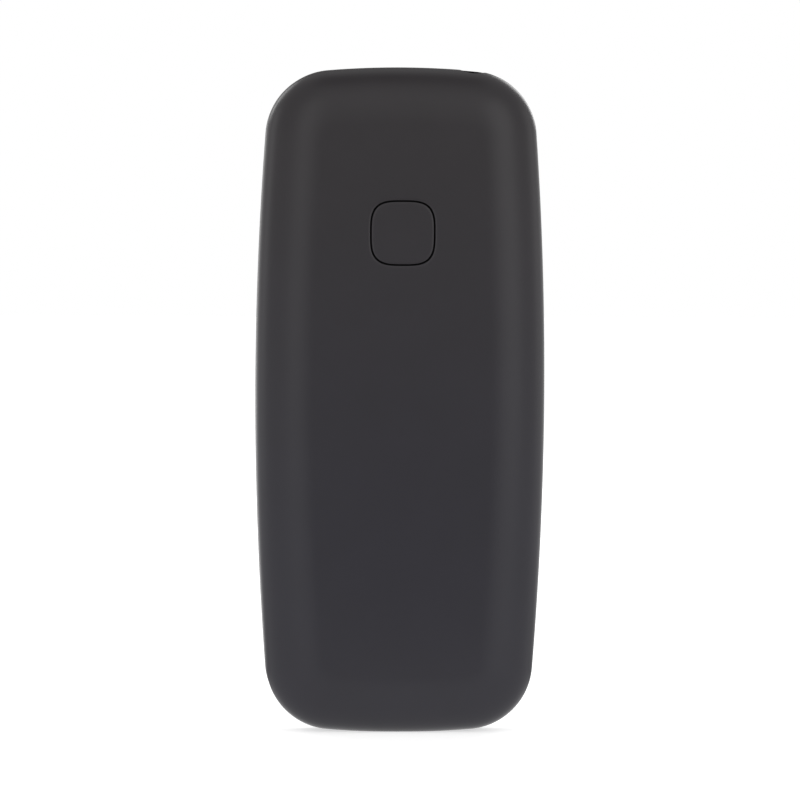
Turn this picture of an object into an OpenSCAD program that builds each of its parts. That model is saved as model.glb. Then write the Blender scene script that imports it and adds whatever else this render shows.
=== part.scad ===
// Candy-bar feature phone, standing on its lower end.
// X is the width, Y the thickness with the screen on the -Y side, and Z the length.
// The origin is the middle of the standing flat.

/* [Body] */
// Length of the body, from the standing flat to the top end
body_l = 116; // [112:0.5:122]
// Width of the body at its widest level
body_w = 50.4; // [49.6:0.2:54]
// Thickness over the key tops and the back
body_t = 13; // [12.6:0.1:14]
// Radius of the long side curves
side_arc_r = 621; // [500:1:900]
// Radius of the two end curves
end_arc_r = 149; // [120:1:200]
// Radius of the four corners in plan
corner_r = 11.7; // [11.2:0.1:12.6]
// Height of the widest level above mid length
widest_rise = 1.7; // [0:0.1:3]
// Depth of the standing flat in the lower end
foot_cut = 0.15; // [0.1:0.05:0.25]

/* [Front housing] */
// Thickness of the front wall
front_wall = 1.4; // [1.2:0.05:1.6]
// Thickness of the rim round the front housing
front_rim = 2.6; // [2.4:0.05:3]
// Radius of the front edge
front_edge_r = 2; // [1.2:0.1:2.4]
// Depth of the front housing, from its face to the parting line
front_depth = 2.9; // [2.6:0.05:3.2]
// Width of the bevel on each side of the parting line
seam_bevel = 0.35; // [0.25:0.05:0.45]
// Gap between the front housing and the back cover
seam_gap = 0.12; // [0.1:0.01:0.18]

/* [Back cover] */
// Thickness of the cover's wall
cover_wall = 1.1; // [0.9:0.05:1.3]
// Width of the rounded shoulder, from the outline to the flat back
shoulder_w = 10; // [8:0.1:10.6]
// Depth of the rounded shoulder
shoulder_d = 5.05; // [4.6:0.05:5.4]
// Room that the chassis leaves inside the cover, so that the cover can swing
swing_room = 0.8; // [0.7:0.05:1]
// Radius of the round catch on the cover's lower edge
catch_r = 0.3; // [0.2:0.02:0.34]
// Length of that catch
catch_l = 9; // [6:0.5:12]
// How far the clips on the cover's sides stand in
clip_reach = 0.4; // [0.2:0.05:0.5]

/* [Rear key] */
// Distance from the top end to the middle of the rear key
assist_drop = 28.8; // [27:0.2:31]
// Width and height of the rear key
assist_w = 10.8; // [9:0.1:11.6]
// Gap round the rear key
assist_gap = 0.3; // [0.2:0.05:0.4]
// Power of the rear key's rounded-square outline
assist_power = 4.5; // [3:0.1:6]
// How far the flange reaches past the rear key's opening
assist_lip = 0.5; // [0.3:0.05:0.8]
// Travel of the rear key
assist_travel = 0.4; // [0.2:0.05:0.5]

/* [Keypad] */
// Distance from the body's widest edge to the keypad
keypad_side = 6; // [5.8:0.1:6.6]
// Height of the lowest key row above the standing flat
keypad_bottom = 8.6; // [8:0.1:10]
// Height of a number key
key_h = 6.8; // [6:0.1:7.2]
// Rib between two columns of keys, key to key
key_gap_x = 1.2; // [1.1:0.05:1.6]
// Rib between two rows of keys, key to key
key_gap_z = 1.3; // [1.15:0.05:1.6]
// Corner radius of the keys
key_r = 1.8; // [0.8:0.1:2.6]
// Gap between a key and the front housing
key_gap = 0.2; // [0.15:0.01:0.25]
// How far the keys stand out of the front face
key_proud = 0.2; // [0.1:0.05:0.3]
// How far a key's flange reaches past the key
key_lip = 0.4; // [0.35:0.01:0.5]
// Thickness of a key's flange
key_flange = 0.45; // [0.3:0.05:0.5]
// Travel of a key
key_travel = 0.3; // [0.15:0.05:0.35]
// Radius of the plunger under a key
plunger_r = 1.1; // [0.8:0.1:1.4]

/* [Navigation keys] */
// Width of the navigation ring
nav_w = 16.5; // [15:0.1:17.6]
// Height of the navigation ring and of the key pairs beside it
nav_h = 14.4; // [13:0.1:15]
// Corner radius of the navigation ring
nav_r = 5; // [3:0.1:6]
// Width of the ok key
ok_w = 8; // [6.4:0.1:8.6]
// Height of the ok key
ok_h = 6.6; // [5.4:0.1:7]
// Rib between the navigation keys and the number keys
nav_gap = 1.8; // [1.5:0.05:2.4]
// Gap round the navigation ring and round the ok key
nav_clear = 0.3; // [0.25:0.01:0.35]
// Angle that the navigation ring rocks through, each way
nav_rock = 1.5; // [1:0.1:1.6]

/* [Display] */
// Distance from the navigation keys to the display window
window_gap = 2.6; // [2.5:0.1:4]
// Thickness of the display window
window_t = 0.8; // [0.6:0.05:0.9]
// Corner radius of the display window
window_r = 3; // [1.5:0.1:4]
// Gap between the display window and its recess
window_clear = 0.12; // [0.08:0.01:0.2]
// How far the display window reaches past the display module
window_border = 1.5; // [1.2:0.1:1.7]
// Width of the module's frame that the front housing covers
module_frame = 1.2; // [0.8:0.1:1.8]
// Thickness of the display module
module_t = 1.65; // [1.5:0.05:1.8]
// Thickness of the foam gasket round the display
gasket_t = 0.3; // [0.2:0.02:0.36]

/* [Boards and sockets] */
// Thickness of the main board
board_t = 0.8; // [0.6:0.05:1]
// Height of the parts on the back of the main board
parts_h = 1.65; // [1.55:0.05:1.8]
// Radius of a dome switch
dome_r = 2; // [1.6:0.1:2.2]
// Height of a dome switch when pressed
dome_h = 0.15; // [0.1:0.01:0.2]
// Width of a card socket
socket_w = 15.4; // [14:0.1:16]
// Length of a card socket
socket_l = 14; // [12:0.1:15]
// Radius of the headset bore
jack_bore_r = 1.8; // [1.75:0.01:1.9]
// Thickness of the headset socket's body
jack_t = 4.6; // [4.4:0.1:5]
// Length of the headset socket
jack_l = 14; // [12:0.1:15]
// Distance of the headset socket from the middle
jack_x = 12.3; // [11.6:0.1:12.8]
// Radius of the hole in the cover for the headset plug
jack_hole_r = 2.35; // [2:0.05:2.5]
// Width of the charging socket
usb_w = 7.6; // [7.2:0.1:8.2]
// Thickness of the charging socket
usb_t = 2.6; // [2.4:0.05:2.8]
// Length of the charging socket
usb_l = 5.2; // [4.6:0.1:6]

/* [Chassis and battery] */
// Thickness of the chassis floor
floor_t = 0.8; // [0.6:0.05:1]
// Thickness of the chassis walls
chassis_wall = 1; // [0.8:0.05:1.2]
// Height of the battery bay's lower end above the standing flat
battery_bottom = 20; // [19:0.2:22]
// Width of the battery
battery_w = 34; // [30:0.2:35]
// Gap between the battery and the cover
battery_lid = 0.6; // [0.5:0.05:0.8]
// Gap between the battery and its bay
battery_clear = 0.25; // [0.2:0.01:0.4]
// Height of the bay walls above the chassis floor
bay_h = 3.4; // [2:0.1:3.8]
// Height of the upper deck above the chassis floor
deck_h = 2.9; // [2.7:0.05:3.2]
// Length of the battery contact block
contact_l = 3.4; // [3:0.1:4]

/* [Motor and sound] */
// Radius of the vibration motor
motor_r = 2; // [1.6:0.1:2.1]
// Length of the vibration motor
motor_l = 8; // [6:0.1:9]
// Radius of the eccentric weight
weight_r = 2.4; // [2:0.1:2.6]
// Length of the eccentric weight
weight_l = 3.4; // [2.5:0.1:4]
// Radius of the motor's shaft
shaft_r = 0.4; // [0.3:0.05:0.5]
// Width of the earpiece
ear_w = 15; // [12:0.2:15.6]
// Height of the earpiece
ear_h = 5.6; // [5:0.1:6]
// Thickness of the earpiece
ear_t = 3; // [2.4:0.1:3.2]
// Width of the slot in front of the earpiece
slot_w = 9; // [7:0.1:11]
// Height of that slot
slot_h = 1.2; // [1:0.05:1.6]

/* [Screws] */
// Distance of the side screws from the body's widest edge
screw_side = 4.7; // [4.6:0.05:5.2]
// Distance of the upper screws from the top end
screw_drop = 18; // [16:0.5:22]
// Distance of the lower screws from the middle
screw_low_x = 13; // [12.6:0.1:13.6]
// Height of the lower screws above the standing flat
screw_low_z = 5.4; // [5.2:0.1:5.6]
// Radius of a screw's shank
screw_r = 0.75; // [0.6:0.05:0.8]
// Radius of a screw's head
screw_head_r = 1.3; // [1.2:0.05:1.4]
// Radius of a screw boss
boss_r = 1.45; // [1.3:0.05:1.5]

/* [Hidden] */
$fn = 48;

// Small lengths that many pieces share
cut = 1;         // how far a cut runs past a face
touch = 0.05;    // gap between two flat faces that seat on each other
slack = 0.3;     // gap between a part and a window that lets it through

// Levels through the thickness
y_tip = -body_t / 2;
y_back = body_t / 2;
y_face = y_tip + key_proud;
y_in = y_face + front_wall;
y_part = y_face + front_depth;
y_rim = y_part + seam_gap;
y_band = y_back - shoulder_d;
y_lid = y_back - cover_wall;
y_module = y_in + gasket_t;
y_board = y_module + module_t + touch;
y_parts = y_board + board_t;
y_floor = y_parts + parts_h;
y_bay = y_floor + floor_t;
y_deck = y_bay + deck_h;

// Plan of the body: a widest level, two side arcs, two end arcs and four corner arcs
half_w = body_w / 2;
z_wide = (body_l - foot_cut) / 2 + widest_rise;
reach_up = body_l - z_wide;
reach_down = z_wide + foot_cut;
side_steps = 3;
corner_steps = 10;
end_steps = 3;
chassis_in = cover_wall + swing_room;
inner_bevel = 0.6;

// Keypad places
keypad_w = body_w - 2 * keypad_side;
key_w = (keypad_w - 2 * key_gap_x) / 3;
row_step = key_h + key_gap_z;
column_step = key_w + key_gap_x;
nav_z0 = keypad_bottom + 4 * key_h + 3 * key_gap_z + nav_gap;
nav_z1 = nav_z0 + nav_h;
nav_z = (nav_z0 + nav_z1) / 2;
side_key_w = (keypad_w - nav_w) / 2 - key_gap_x;
side_key_h = (nav_h - key_gap_z) / 2;
side_key_x = (keypad_w - side_key_w) / 2;
side_key_rise = (side_key_h + key_gap_z) / 2;
mat_gap = 0.15;  // left between a pressed key and the mat
y_flange = y_in + key_gap;
y_flange_back = y_flange + key_flange;
y_mat = y_flange_back + key_travel + mat_gap;
y_plunger = y_board - dome_h - touch - key_travel;

// Navigation ring and pad, with room to rock both ways at once
nav_flange = 0.35;
pad_t = 0.3;
nub_r = 0.8;
corner_trim = (2 - sqrt(2)) * (nav_r + key_lip);
corner_reach = (nav_w + nav_h) / 2 + 2 * key_lip - corner_trim;
y_nav_flange = y_in + corner_reach * sin(nav_rock) + touch;
rock_room = (nav_h / 2 + key_lip) * sin(nav_rock) + touch;
y_pad = y_nav_flange + nav_flange + rock_room;
pad_room = nav_w / 2 * sin(nav_rock) + touch;
y_nub = y_board - dome_h - pad_room;

// Screws and the board between them
boss_room = 0.2;     // between the navigation ring's flange and a boss
thread_floor = 0.2;  // wall left at the blind end of a screw hole
screw_x = half_w - screw_side;
screw_mid_z = nav_z1 + key_lip + boss_r + boss_room;
screw_top_z = body_l - screw_drop;
screw_spots = [[screw_low_x, screw_low_z], [screw_x, screw_mid_z], [screw_x, screw_top_z]];
screw_head_h = 0.7;
drive_r = 0.5;
drive_d = 0.35;
drive_sides = 6;
boss_gap = 0.1;
board_half = screw_x - boss_r - slack;
board_in = front_rim + slack * 2;

// Earpiece, display and window, from the top end down
ear_z1 = body_l - front_rim - inner_bevel - slack;
ear_z0 = ear_z1 - ear_h;
slot_z = (ear_z0 + ear_z1) / 2;
board_z1 = ear_z0 - slack;
module_z1 = board_z1 - slack;
window_z1 = module_z1 + window_border / 2;
window_z0 = nav_z1 + window_gap;
module_z0 = window_z0 + window_border / 2;
module_half = board_half - slack;
window_half = module_half + window_border;
y_window = y_face + touch;
y_ledge = y_window + window_t + touch;
mesh_t = 0.2;
mesh_lip = 0.8;
y_ear = y_in + mesh_t + touch;
mic_x = -8.6;
mic_z = 5.2;
mic_hole_r = 0.45;

// Rear key, battery and what lies between
assist_z = body_l - assist_drop;
assist_flange_w = assist_w + 2 * (assist_gap + assist_lip);
assist_flange = 0.7;
assist_stem_r = 1.5;
assist_sink = 0.05;
y_assist = y_lid - slack / 2;
switch_w = 4.5;
switch_h = 1;
switch_tip_h = 0.3;
switch_tip_r = 1;
y_stem = y_parts + switch_h + switch_tip_h + assist_travel + touch;
deck_margin = 2.5;
deck_z0 = assist_z - assist_flange_w / 2 - deck_margin;
bay_z1 = deck_z0 - contact_l - chassis_wall;
bay_z0 = battery_bottom;
battery_z0 = bay_z0 + battery_clear;
battery_z1 = bay_z1 - battery_clear;
y_battery = y_bay + touch;
y_battery_back = y_lid - battery_lid;
contact_half = 4.5;
deck_in = 6.5;

// Sockets on the back of the board
socket_h = 1.4;
socket_gap = 0.6;
sim_x = (socket_w + socket_gap) / 2;
part_gap = 2;        // between neighbours on the board
sim_z0 = bay_z0 + part_gap;
card_z0 = sim_z0 + socket_l + part_gap;
can_z0 = card_z0 + socket_l + part_gap;
can_z1 = bay_z1 - part_gap;
can_half = battery_w / 2 - battery_clear;
can_h = parts_h - slack / 2;
can_wall = 0.2;
jack_w = 6.2;
y_jack = y_parts + touch + jack_t / 2;
jack_setback = 3;
jack_z1 = body_l - jack_setback;
jack_z0 = jack_z1 - jack_l;
usb_setback = 0.35;
usb_z0 = cover_wall - foot_cut + usb_setback + touch;
usb_z1 = usb_z0 + usb_l;
y_usb = y_parts + usb_t / 2;
usb_overhang = 1.6;
board_z0 = usb_z0 + usb_overhang;

// Vibration motor, lying across the lower end
y_motor = y_parts + weight_r + slack;
motor_gap = 3;
motor_z = battery_bottom - chassis_wall - weight_r - motor_gap;
motor_x0 = 5.6;
weight_x1 = motor_x0 - slack;
weight_x0 = weight_x1 - weight_l;

// Clips inside the cover
clip_l = 6;
clip_t = 0.8;
clip_levels = [battery_bottom, z_wide, assist_z];

// Swing axis of the cover, along the round catch in its groove
catch_gap = 0.1;
y_swing = (y_part + y_rim) / 2;
z_swing = seam_bevel;

// Points of an arc, without its last point
function arc(centre, r, a0, a1, n) =
    [for (i = [0:n - 1]) let (a = a0 + (a1 - a0) * i / n) centre + r * [cos(a), sin(a)]];

// Middle of the corner arc that touches the side arc and the end arc from inside
function corner_mid(reach) =
    let (
        side = [half_w - side_arc_r, 0],
        end = [0, reach - end_arc_r],
        gap = end - side,
        d = norm(gap),
        ra = side_arc_r - corner_r,
        rb = end_arc_r - corner_r,
        u = (ra * ra - rb * rb + d * d) / (2 * d),
        h = sqrt(ra * ra - u * u),
        e = gap / d
    )
    side + u * e + h * [-e.y, e.x] * (e.x > 0 && e.y < 0 ? 1 : -1);

// One quarter of the outline, from the widest level to the end, set in by d
function quarter(d, reach) =
    let (
        side = [half_w - side_arc_r, 0],
        end = [0, reach - end_arc_r],
        mid = corner_mid(reach),
        to_side = mid - side,
        to_end = mid - end,
        a_side = atan2(to_side.y, to_side.x),
        a_end = atan2(to_end.y, to_end.x)
    )
    concat(
        arc(side, side_arc_r - d, 0, a_side, side_steps),
        arc(mid, corner_r - d, a_side, a_end, corner_steps),
        arc(end, end_arc_r - d, a_end, 90, end_steps),
        [[0, reach - d]]
    );

// The whole outline in plan, set in by d
function outline(d) =
    let (
        up = quarter(d, reach_up),
        down = quarter(d, reach_down),
        n = len(up) - 1
    )
    concat(
        [for (i = [0:n]) [up[i].x, z_wide + up[i].y]],
        [for (i = [n - 1:-1:0]) [-up[i].x, z_wide + up[i].y]],
        [for (i = [1:n]) [-down[i].x, z_wide - down[i].y]],
        [for (i = [n - 1:-1:1]) [down[i].x, z_wide - down[i].y]]
    );

// Half the width of the outline at a level between the corners
function half_at(z) =
    half_w - side_arc_r + sqrt(side_arc_r * side_arc_r - (z - z_wide) * (z - z_wide));

// Points of a rounded-square outline, 2 a wide
function squircle(a, n) =
    [for (i = [0:n - 1])
        let (t = 360 * i / n, c = cos(t), s = sin(t))
        a * [sign(c) * pow(abs(c), 2 / assist_power), sign(s) * pow(abs(s), 2 / assist_power)]];

// A closed solid through rings of the outline, each given as [set in, level]
module loft(rings) {
    n = len(outline(0));
    last = len(rings) - 1;
    points = [for (ring = rings) for (p = outline(ring[0])) [p.x, ring[1], p.y]];
    walls = [for (k = [0:last - 1]) for (i = [0:n - 1])
        let (j = (i + 1) % n) [k * n + i, k * n + j, (k + 1) * n + j, (k + 1) * n + i]];
    front = [[for (i = [n - 1:-1:0]) i]];
    back = [[for (i = [0:n - 1]) last * n + i]];
    polyhedron(points, concat(front, walls, back));
}

// A flat shape in plan, given thickness from level y0 to level y1
module slab(y0, y1) {
    translate([0, y1, 0])
        rotate([90, 0, 0])
            linear_extrude(y1 - y0)
                children();
}

// A block between two corners
module block(low, high) {
    translate(low)
        cube(high - low);
}

// A round bar along Y, from level y0 to level y1
module pin(x, z, r, y0, y1) {
    slab(y0, y1)
        translate([x, z])
            circle(r);
}

// A rectangle with round corners, about its middle
module rounded(w, h, r) {
    square([w - 2 * r, h], center = true);
    square([w, h - 2 * r], center = true);
    for (sx = [-1, 1])
        for (sz = [-1, 1])
            translate([sx * (w / 2 - r), sz * (h / 2 - r)])
                circle(r);
}

// Children at each screw, on both sides
module at_screws() {
    for (side = [-1, 1])
        for (spot = screw_spots)
            translate([side * spot.x, 0, spot.y])
                children();
}

// Everything below the standing flat
module below_flat() {
    block([-body_w, -body_t, -body_l], [body_w, body_t, 0]);
}

// Place of a number key: column -1 to 1, row 0 at the bottom
function key_spot(column, row) =
    [column * column_step, keypad_bottom + key_h / 2 + row * row_step];

// Places of the keys beside the ring: side -1 or 1, level 1 above and -1 below
function side_spot(side, level) = [side * side_key_x, nav_z + level * side_key_rise];

// Outline of each kind of key, larger by grow
module number_shape(grow = 0) {
    rounded(key_w + 2 * grow, key_h + 2 * grow, key_r + grow);
}

module side_shape(grow = 0) {
    rounded(side_key_w + 2 * grow, side_key_h + 2 * grow, key_r + grow);
}

module ring_shape(grow = 0) {
    rounded(nav_w + 2 * grow, nav_h + 2 * grow, nav_r + grow);
}

module ok_shape(grow = 0) {
    end_flat = 0.8;
    rounded(ok_w + 2 * grow, ok_h + 2 * grow, (ok_h - end_flat) / 2 + grow);
}

// Every place with a plunger and a dome
function plunger_spots() = concat(
    [for (row = [0:3]) for (column = [-1:1]) key_spot(column, row)],
    [for (side = [-1, 1]) for (level = [-1, 1]) side_spot(side, level)],
    [[0, nav_z]]
);

function nub_spots() =
    let (
        rx = (nav_w + ok_w) / 4,
        rz = (nav_h + ok_h) / 4
    )
    [[rx, nav_z], [-rx, nav_z], [0, nav_z + rz], [0, nav_z - rz]];

// A key at a place in plan: cap, flange behind the front wall, and plunger
module key_body(spot) {
    translate([spot.x, 0, spot.y]) {
        slab(y_tip, y_flange)
            children(0);
        slab(y_flange, y_flange_back)
            children(1);
        pin(0, 0, plunger_r, y_flange_back, y_plunger);
    }
}

module number_key(column, row) {
    color("#26262a")
        key_body(key_spot(column, row)) {
            number_shape();
            number_shape(key_lip);
        }
}

module side_key(side, level) {
    color("#2c2c31")
        key_body(side_spot(side, level)) {
            side_shape();
            side_shape(key_lip);
        }
}

module ok_key() {
    color("#3a3a40") {
        translate([0, 0, nav_z]) {
            slab(y_tip, y_flange)
                ok_shape();
            pin(0, 0, plunger_r, y_flange, y_plunger);
        }
    }
}

// Ring that rocks round the ok key
module nav_ring() {
    color("#8f9297")
        translate([0, 0, nav_z])
            difference() {
                union() {
                    slab(y_tip, y_nav_flange)
                        ring_shape();
                    slab(y_nav_flange, y_nav_flange + nav_flange)
                        ring_shape(key_lip);
                }
                slab(y_tip - cut, y_board)
                    ok_shape(nav_clear);
            }
}

// Rubber pad with four nubs under the ring
module nav_pad() {
    color("#4a4a4e") {
        difference() {
            slab(y_pad, y_pad + pad_t)
                translate([0, nav_z])
                    ring_shape();
            slab(y_pad - cut, y_board)
                translate([0, nav_z])
                    ok_shape(nav_clear);
        }
        for (spot = nub_spots())
            pin(spot.x, spot.y, nub_r, y_pad + pad_t / 2, y_nub);
    }
}

// Rubber mat round the plungers, lying on the board
module keypad_mat() {
    hole_r = dome_r + slack;
    mat_h = nav_z1 - keypad_bottom;
    color("#5a5a5e")
        difference() {
            slab(y_mat, y_board)
                translate([0, keypad_bottom + mat_h / 2])
                    rounded(2 * board_half, mat_h, key_r);
            slab(y_mat - cut, y_board + cut) {
                for (spot = plunger_spots())
                    translate(spot)
                        circle(hole_r);
                translate([0, nav_z])
                    ring_shape(key_lip + slack);
            }
        }
}

module dome_switches() {
    color("#c9b26a")
        for (spot = concat(plunger_spots(), nub_spots()))
            pin(spot.x, spot.y, dome_r, y_board - dome_h, y_board);
}

// Front shell with its openings and screw bosses
module front_housing() {
    edge_steps = 5;
    edge = [for (i = [0:edge_steps])
        let (a = 90 - 90 * i / edge_steps)
        [front_edge_r * (1 - cos(a)), y_face + front_edge_r * (1 - sin(a))]];
    color("#1d1d20")
        difference() {
            union() {
                loft(concat(edge, [
                    [0, y_part - seam_bevel],
                    [seam_bevel, y_part],
                    [front_rim, y_part],
                    [front_rim, y_in + inner_bevel],
                    [front_rim + inner_bevel, y_in]
                ]));
                at_screws()
                    pin(0, 0, boss_r, y_in - touch, y_floor);
            }
            at_screws()
                pin(0, 0, screw_r, y_in + thread_floor, y_floor + cut);
            window_cuts();
            key_cuts();
            slab(y_face - cut, y_in + cut)
                translate([0, slot_z])
                    rounded(slot_w, slot_h, slot_h / 2 - touch);
            pin(mic_x, mic_z, mic_hole_r, y_face - cut, y_in + cut);
            translate([0, y_swing, z_swing])
                rotate([0, 90, 0])
                    cylinder(r = catch_r + catch_gap, h = catch_l + 2 * slack, center = true);
            below_flat();
        }
}

// Recess for the window and the view through to the display
module window_cuts() {
    recess_w = 2 * (window_half + window_clear);
    recess_h = window_z1 - window_z0 + 2 * window_clear;
    view_w = 2 * (module_half - module_frame);
    view_h = module_z1 - module_z0 - 2 * module_frame;
    slab(y_face - cut, y_ledge)
        translate([0, (window_z0 + window_z1) / 2])
            rounded(recess_w, recess_h, window_r + window_clear);
    slab(y_face, y_in + cut)
        translate([0, (module_z0 + module_z1) / 2])
            rounded(view_w, view_h, key_r);
}

module key_cuts() {
    slab(y_face - cut, y_in + cut) {
        for (row = [0:3])
            for (column = [-1:1])
                translate(key_spot(column, row))
                    number_shape(key_gap);
        for (side = [-1, 1])
            for (level = [-1, 1])
                translate(side_spot(side, level))
                    side_shape(key_gap);
        translate([0, nav_z])
            ring_shape(nav_clear);
    }
}

// Clear window over the display
module display_window() {
    color("#101114")
        slab(y_window, y_window + window_t)
            translate([0, (window_z0 + window_z1) / 2])
                rounded(2 * window_half, window_z1 - window_z0, window_r);
}

module module_shape(inset = 0) {
    translate([0, (module_z0 + module_z1) / 2])
        square([2 * (module_half - inset), module_z1 - module_z0 - 2 * inset], center = true);
}

module display_gasket() {
    color("#333336")
        slab(y_in, y_module)
            difference() {
                module_shape();
                module_shape(module_frame);
            }
}

module display_module() {
    color("#22252b")
        slab(y_module, y_module + module_t)
            module_shape();
}

// Ribbon from the display down to its connector on the board
module display_flex() {
    flex_half = 6;
    flex_t = 0.12;
    plug_h = 1.2;
    plug_t = 0.6;
    z0 = nav_z1 + key_lip + 2 * slack;
    color("#b5752c") {
        block([-flex_half, y_board - flex_t, z0], [flex_half, y_board, module_z0]);
        block([-flex_half, y_board - plug_t, z0], [flex_half, y_board - flex_t, z0 + plug_h]);
    }
}

module earpiece() {
    color("#3c3c40")
        block([-ear_w / 2, y_ear, ear_z0], [ear_w / 2, y_ear + ear_t, ear_z1]);
}

module earpiece_mesh() {
    color("#6d6f73")
        slab(y_in, y_in + mesh_t)
            translate([0, slot_z])
                square([slot_w + 2 * mesh_lip, slot_h + 2 * mesh_lip], center = true);
}

// Main board, cut back round the lower screws and the rims
module main_board() {
    color("#1f5a3a")
        slab(y_board, y_parts)
            difference() {
                intersection() {
                    polygon(outline(board_in));
                    translate([-board_half, board_z0])
                        square([2 * board_half, board_z1 - board_z0]);
                }
                for (side = [-1, 1])
                    translate([side * screw_low_x, screw_low_z])
                        circle(boss_r + slack);
            }
}

// One pressed metal can, open towards the board
module can(low, high) {
    difference() {
        block([low.x, y_parts, low.y], [high.x, y_parts + can_h, high.y]);
        block([low.x + can_wall, y_parts - cut, low.y + can_wall],
            [high.x - can_wall, y_parts + can_h - can_wall, high.y - can_wall]);
    }
}

module shield_cans() {
    color("#b9bcc0") {
        can([-can_half, can_z0], [can_half, can_z1]);
        can([part_gap - jack_x + jack_w / 2, assist_z + switch_w], [can_half, board_z1 - part_gap]);
    }
}

// A card socket: a flat metal cage, open at its lower end
module card_socket(x, z0) {
    cage = 0.25;
    rail = 1;
    card_t = 0.9;
    half = socket_w / 2;
    difference() {
        block([x - half, y_parts, z0], [x + half, y_parts + socket_h, z0 + socket_l]);
        block([x - half + rail, y_parts + cage, z0 - cut],
            [x + half - rail, y_parts + cage + card_t, z0 + socket_l - rail]);
    }
}

module sim_socket_1() {
    color("#c4c7cb")
        card_socket(-sim_x, sim_z0);
}

module sim_socket_2() {
    color("#c4c7cb")
        card_socket(sim_x, sim_z0);
}

module memory_card_socket() {
    color("#c4c7cb")
        card_socket(0, card_z0);
}

// Inner chassis: floor, skirt on the front housing, battery bay and upper deck
module rear_chassis() {
    color("#2a2a2d")
        difference() {
            union() {
                slab(y_floor, y_bay)
                    polygon(outline(chassis_in));
                slab(y_part, y_floor)
                    difference() {
                        polygon(outline(chassis_in));
                        polygon(outline(chassis_in + chassis_wall));
                    }
                slab(y_bay, y_bay + bay_h)
                    bay_frame();
                slab(y_bay, y_deck)
                    deck_shape(deck_in);
            }
            slab(y_bay - cut, y_deck - floor_t)
                deck_shape(deck_in + chassis_wall);
            chassis_windows();
            at_screws() {
                pin(0, 0, screw_r + touch, y_floor - cut, y_bay + cut);
                pin(0, 0, boss_r + boss_gap, y_part - cut, y_floor);
                pin(0, 0, screw_head_r + slack, y_bay, y_bay + bay_h + cut);
            }
            below_flat();
        }
}

// Plan of the wall round the battery
module bay_frame() {
    half = battery_w / 2 + battery_clear;
    difference() {
        translate([-half - chassis_wall, bay_z0 - chassis_wall])
            square([2 * (half + chassis_wall), bay_z1 - bay_z0 + 2 * chassis_wall]);
        translate([-half, bay_z0])
            square([2 * half, bay_z1 - bay_z0]);
    }
}

// Plan of the raised deck at the top end
module deck_shape(inset) {
    grow = inset - deck_in;
    intersection() {
        polygon(outline(inset));
        translate([-body_w, deck_z0 + grow])
            square([2 * body_w, body_l]);
    }
}

// Openings through the chassis for what stands on the board
module chassis_windows() {
    through = y_bay + cut;
    usb_half = usb_w / 2 + slack;
    jack_half = jack_w / 2 + slack;
    for (side = [-1, 1])
        socket_window(side * sim_x, sim_z0);
    socket_window(0, card_z0);
    pin(0, assist_z, assist_stem_r + slack / 2, y_part - cut, y_deck + cut);
    block([-contact_half - slack, y_part - cut, bay_z1 - cut],
        [contact_half + slack, y_bay + bay_h + cut, bay_z1 + contact_l + slack]);
    block([-usb_half, y_part - cut, -cut], [usb_half, y_parts + usb_t + slack, usb_z1 + slack]);
    block([-jack_x - jack_half, y_part - cut, jack_z0 - slack],
        [-jack_x + jack_half, y_deck + cut, body_l]);
    block([weight_x0 - slack, y_part - cut, motor_z - weight_r - slack],
        [motor_x0, through, motor_z + weight_r + slack]);
    block([motor_x0 - touch, y_part - cut, motor_z - motor_r - slack / 2],
        [motor_x0 + motor_l + slack, through, motor_z + motor_r + slack / 2]);
}

// Opening over a card socket, with room below it for the card's end
module socket_window(x, z0) {
    card_end = 1.5;
    half = socket_w / 2 + slack;
    block([x - half, y_floor - cut, z0 - card_end], [x + half, y_bay + touch, z0 + socket_l + slack]);
}

module battery() {
    color("#7d8288")
        block([-battery_w / 2, y_battery, battery_z0],
            [battery_w / 2, y_battery_back, battery_z1]);
}

// Block with three spring blades that meet the battery's end
module battery_contacts() {
    blade_w = 1.2;
    blade_step = 2.6;
    blade_h = 1.6;
    block_h = parts_h + floor_t + bay_h - 2 * slack;
    y_blade = y_bay + blade_h / 2;
    color("#d2b45a") {
        block([-contact_half, y_parts, bay_z1 + touch],
            [contact_half, y_parts + block_h, bay_z1 + contact_l]);
        for (i = [-1:1])
            block([i * blade_step - blade_w / 2, y_blade, battery_z1 + touch],
                [i * blade_step + blade_w / 2, y_blade + blade_h, bay_z1 + 2 * touch]);
    }
}

// Push key in the back, with its flange under the cover and its stem to the switch
module assist_key() {
    steps = 48;
    color("#313134") {
        slab(y_assist, y_back - assist_sink)
            translate([0, assist_z])
                polygon(squircle(assist_w / 2, steps));
        slab(y_assist - assist_flange, y_assist)
            translate([0, assist_z])
                polygon(squircle(assist_flange_w / 2, steps));
        pin(0, assist_z, assist_stem_r, y_stem, y_assist - assist_flange);
    }
}

module assist_switch() {
    half = switch_w / 2;
    y_case = y_parts + switch_h;
    color("#8a8d92") {
        block([-half, y_parts, assist_z - half], [half, y_case, assist_z + half]);
        pin(0, assist_z, switch_tip_r, y_case, y_case + switch_tip_h);
    }
}

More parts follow.
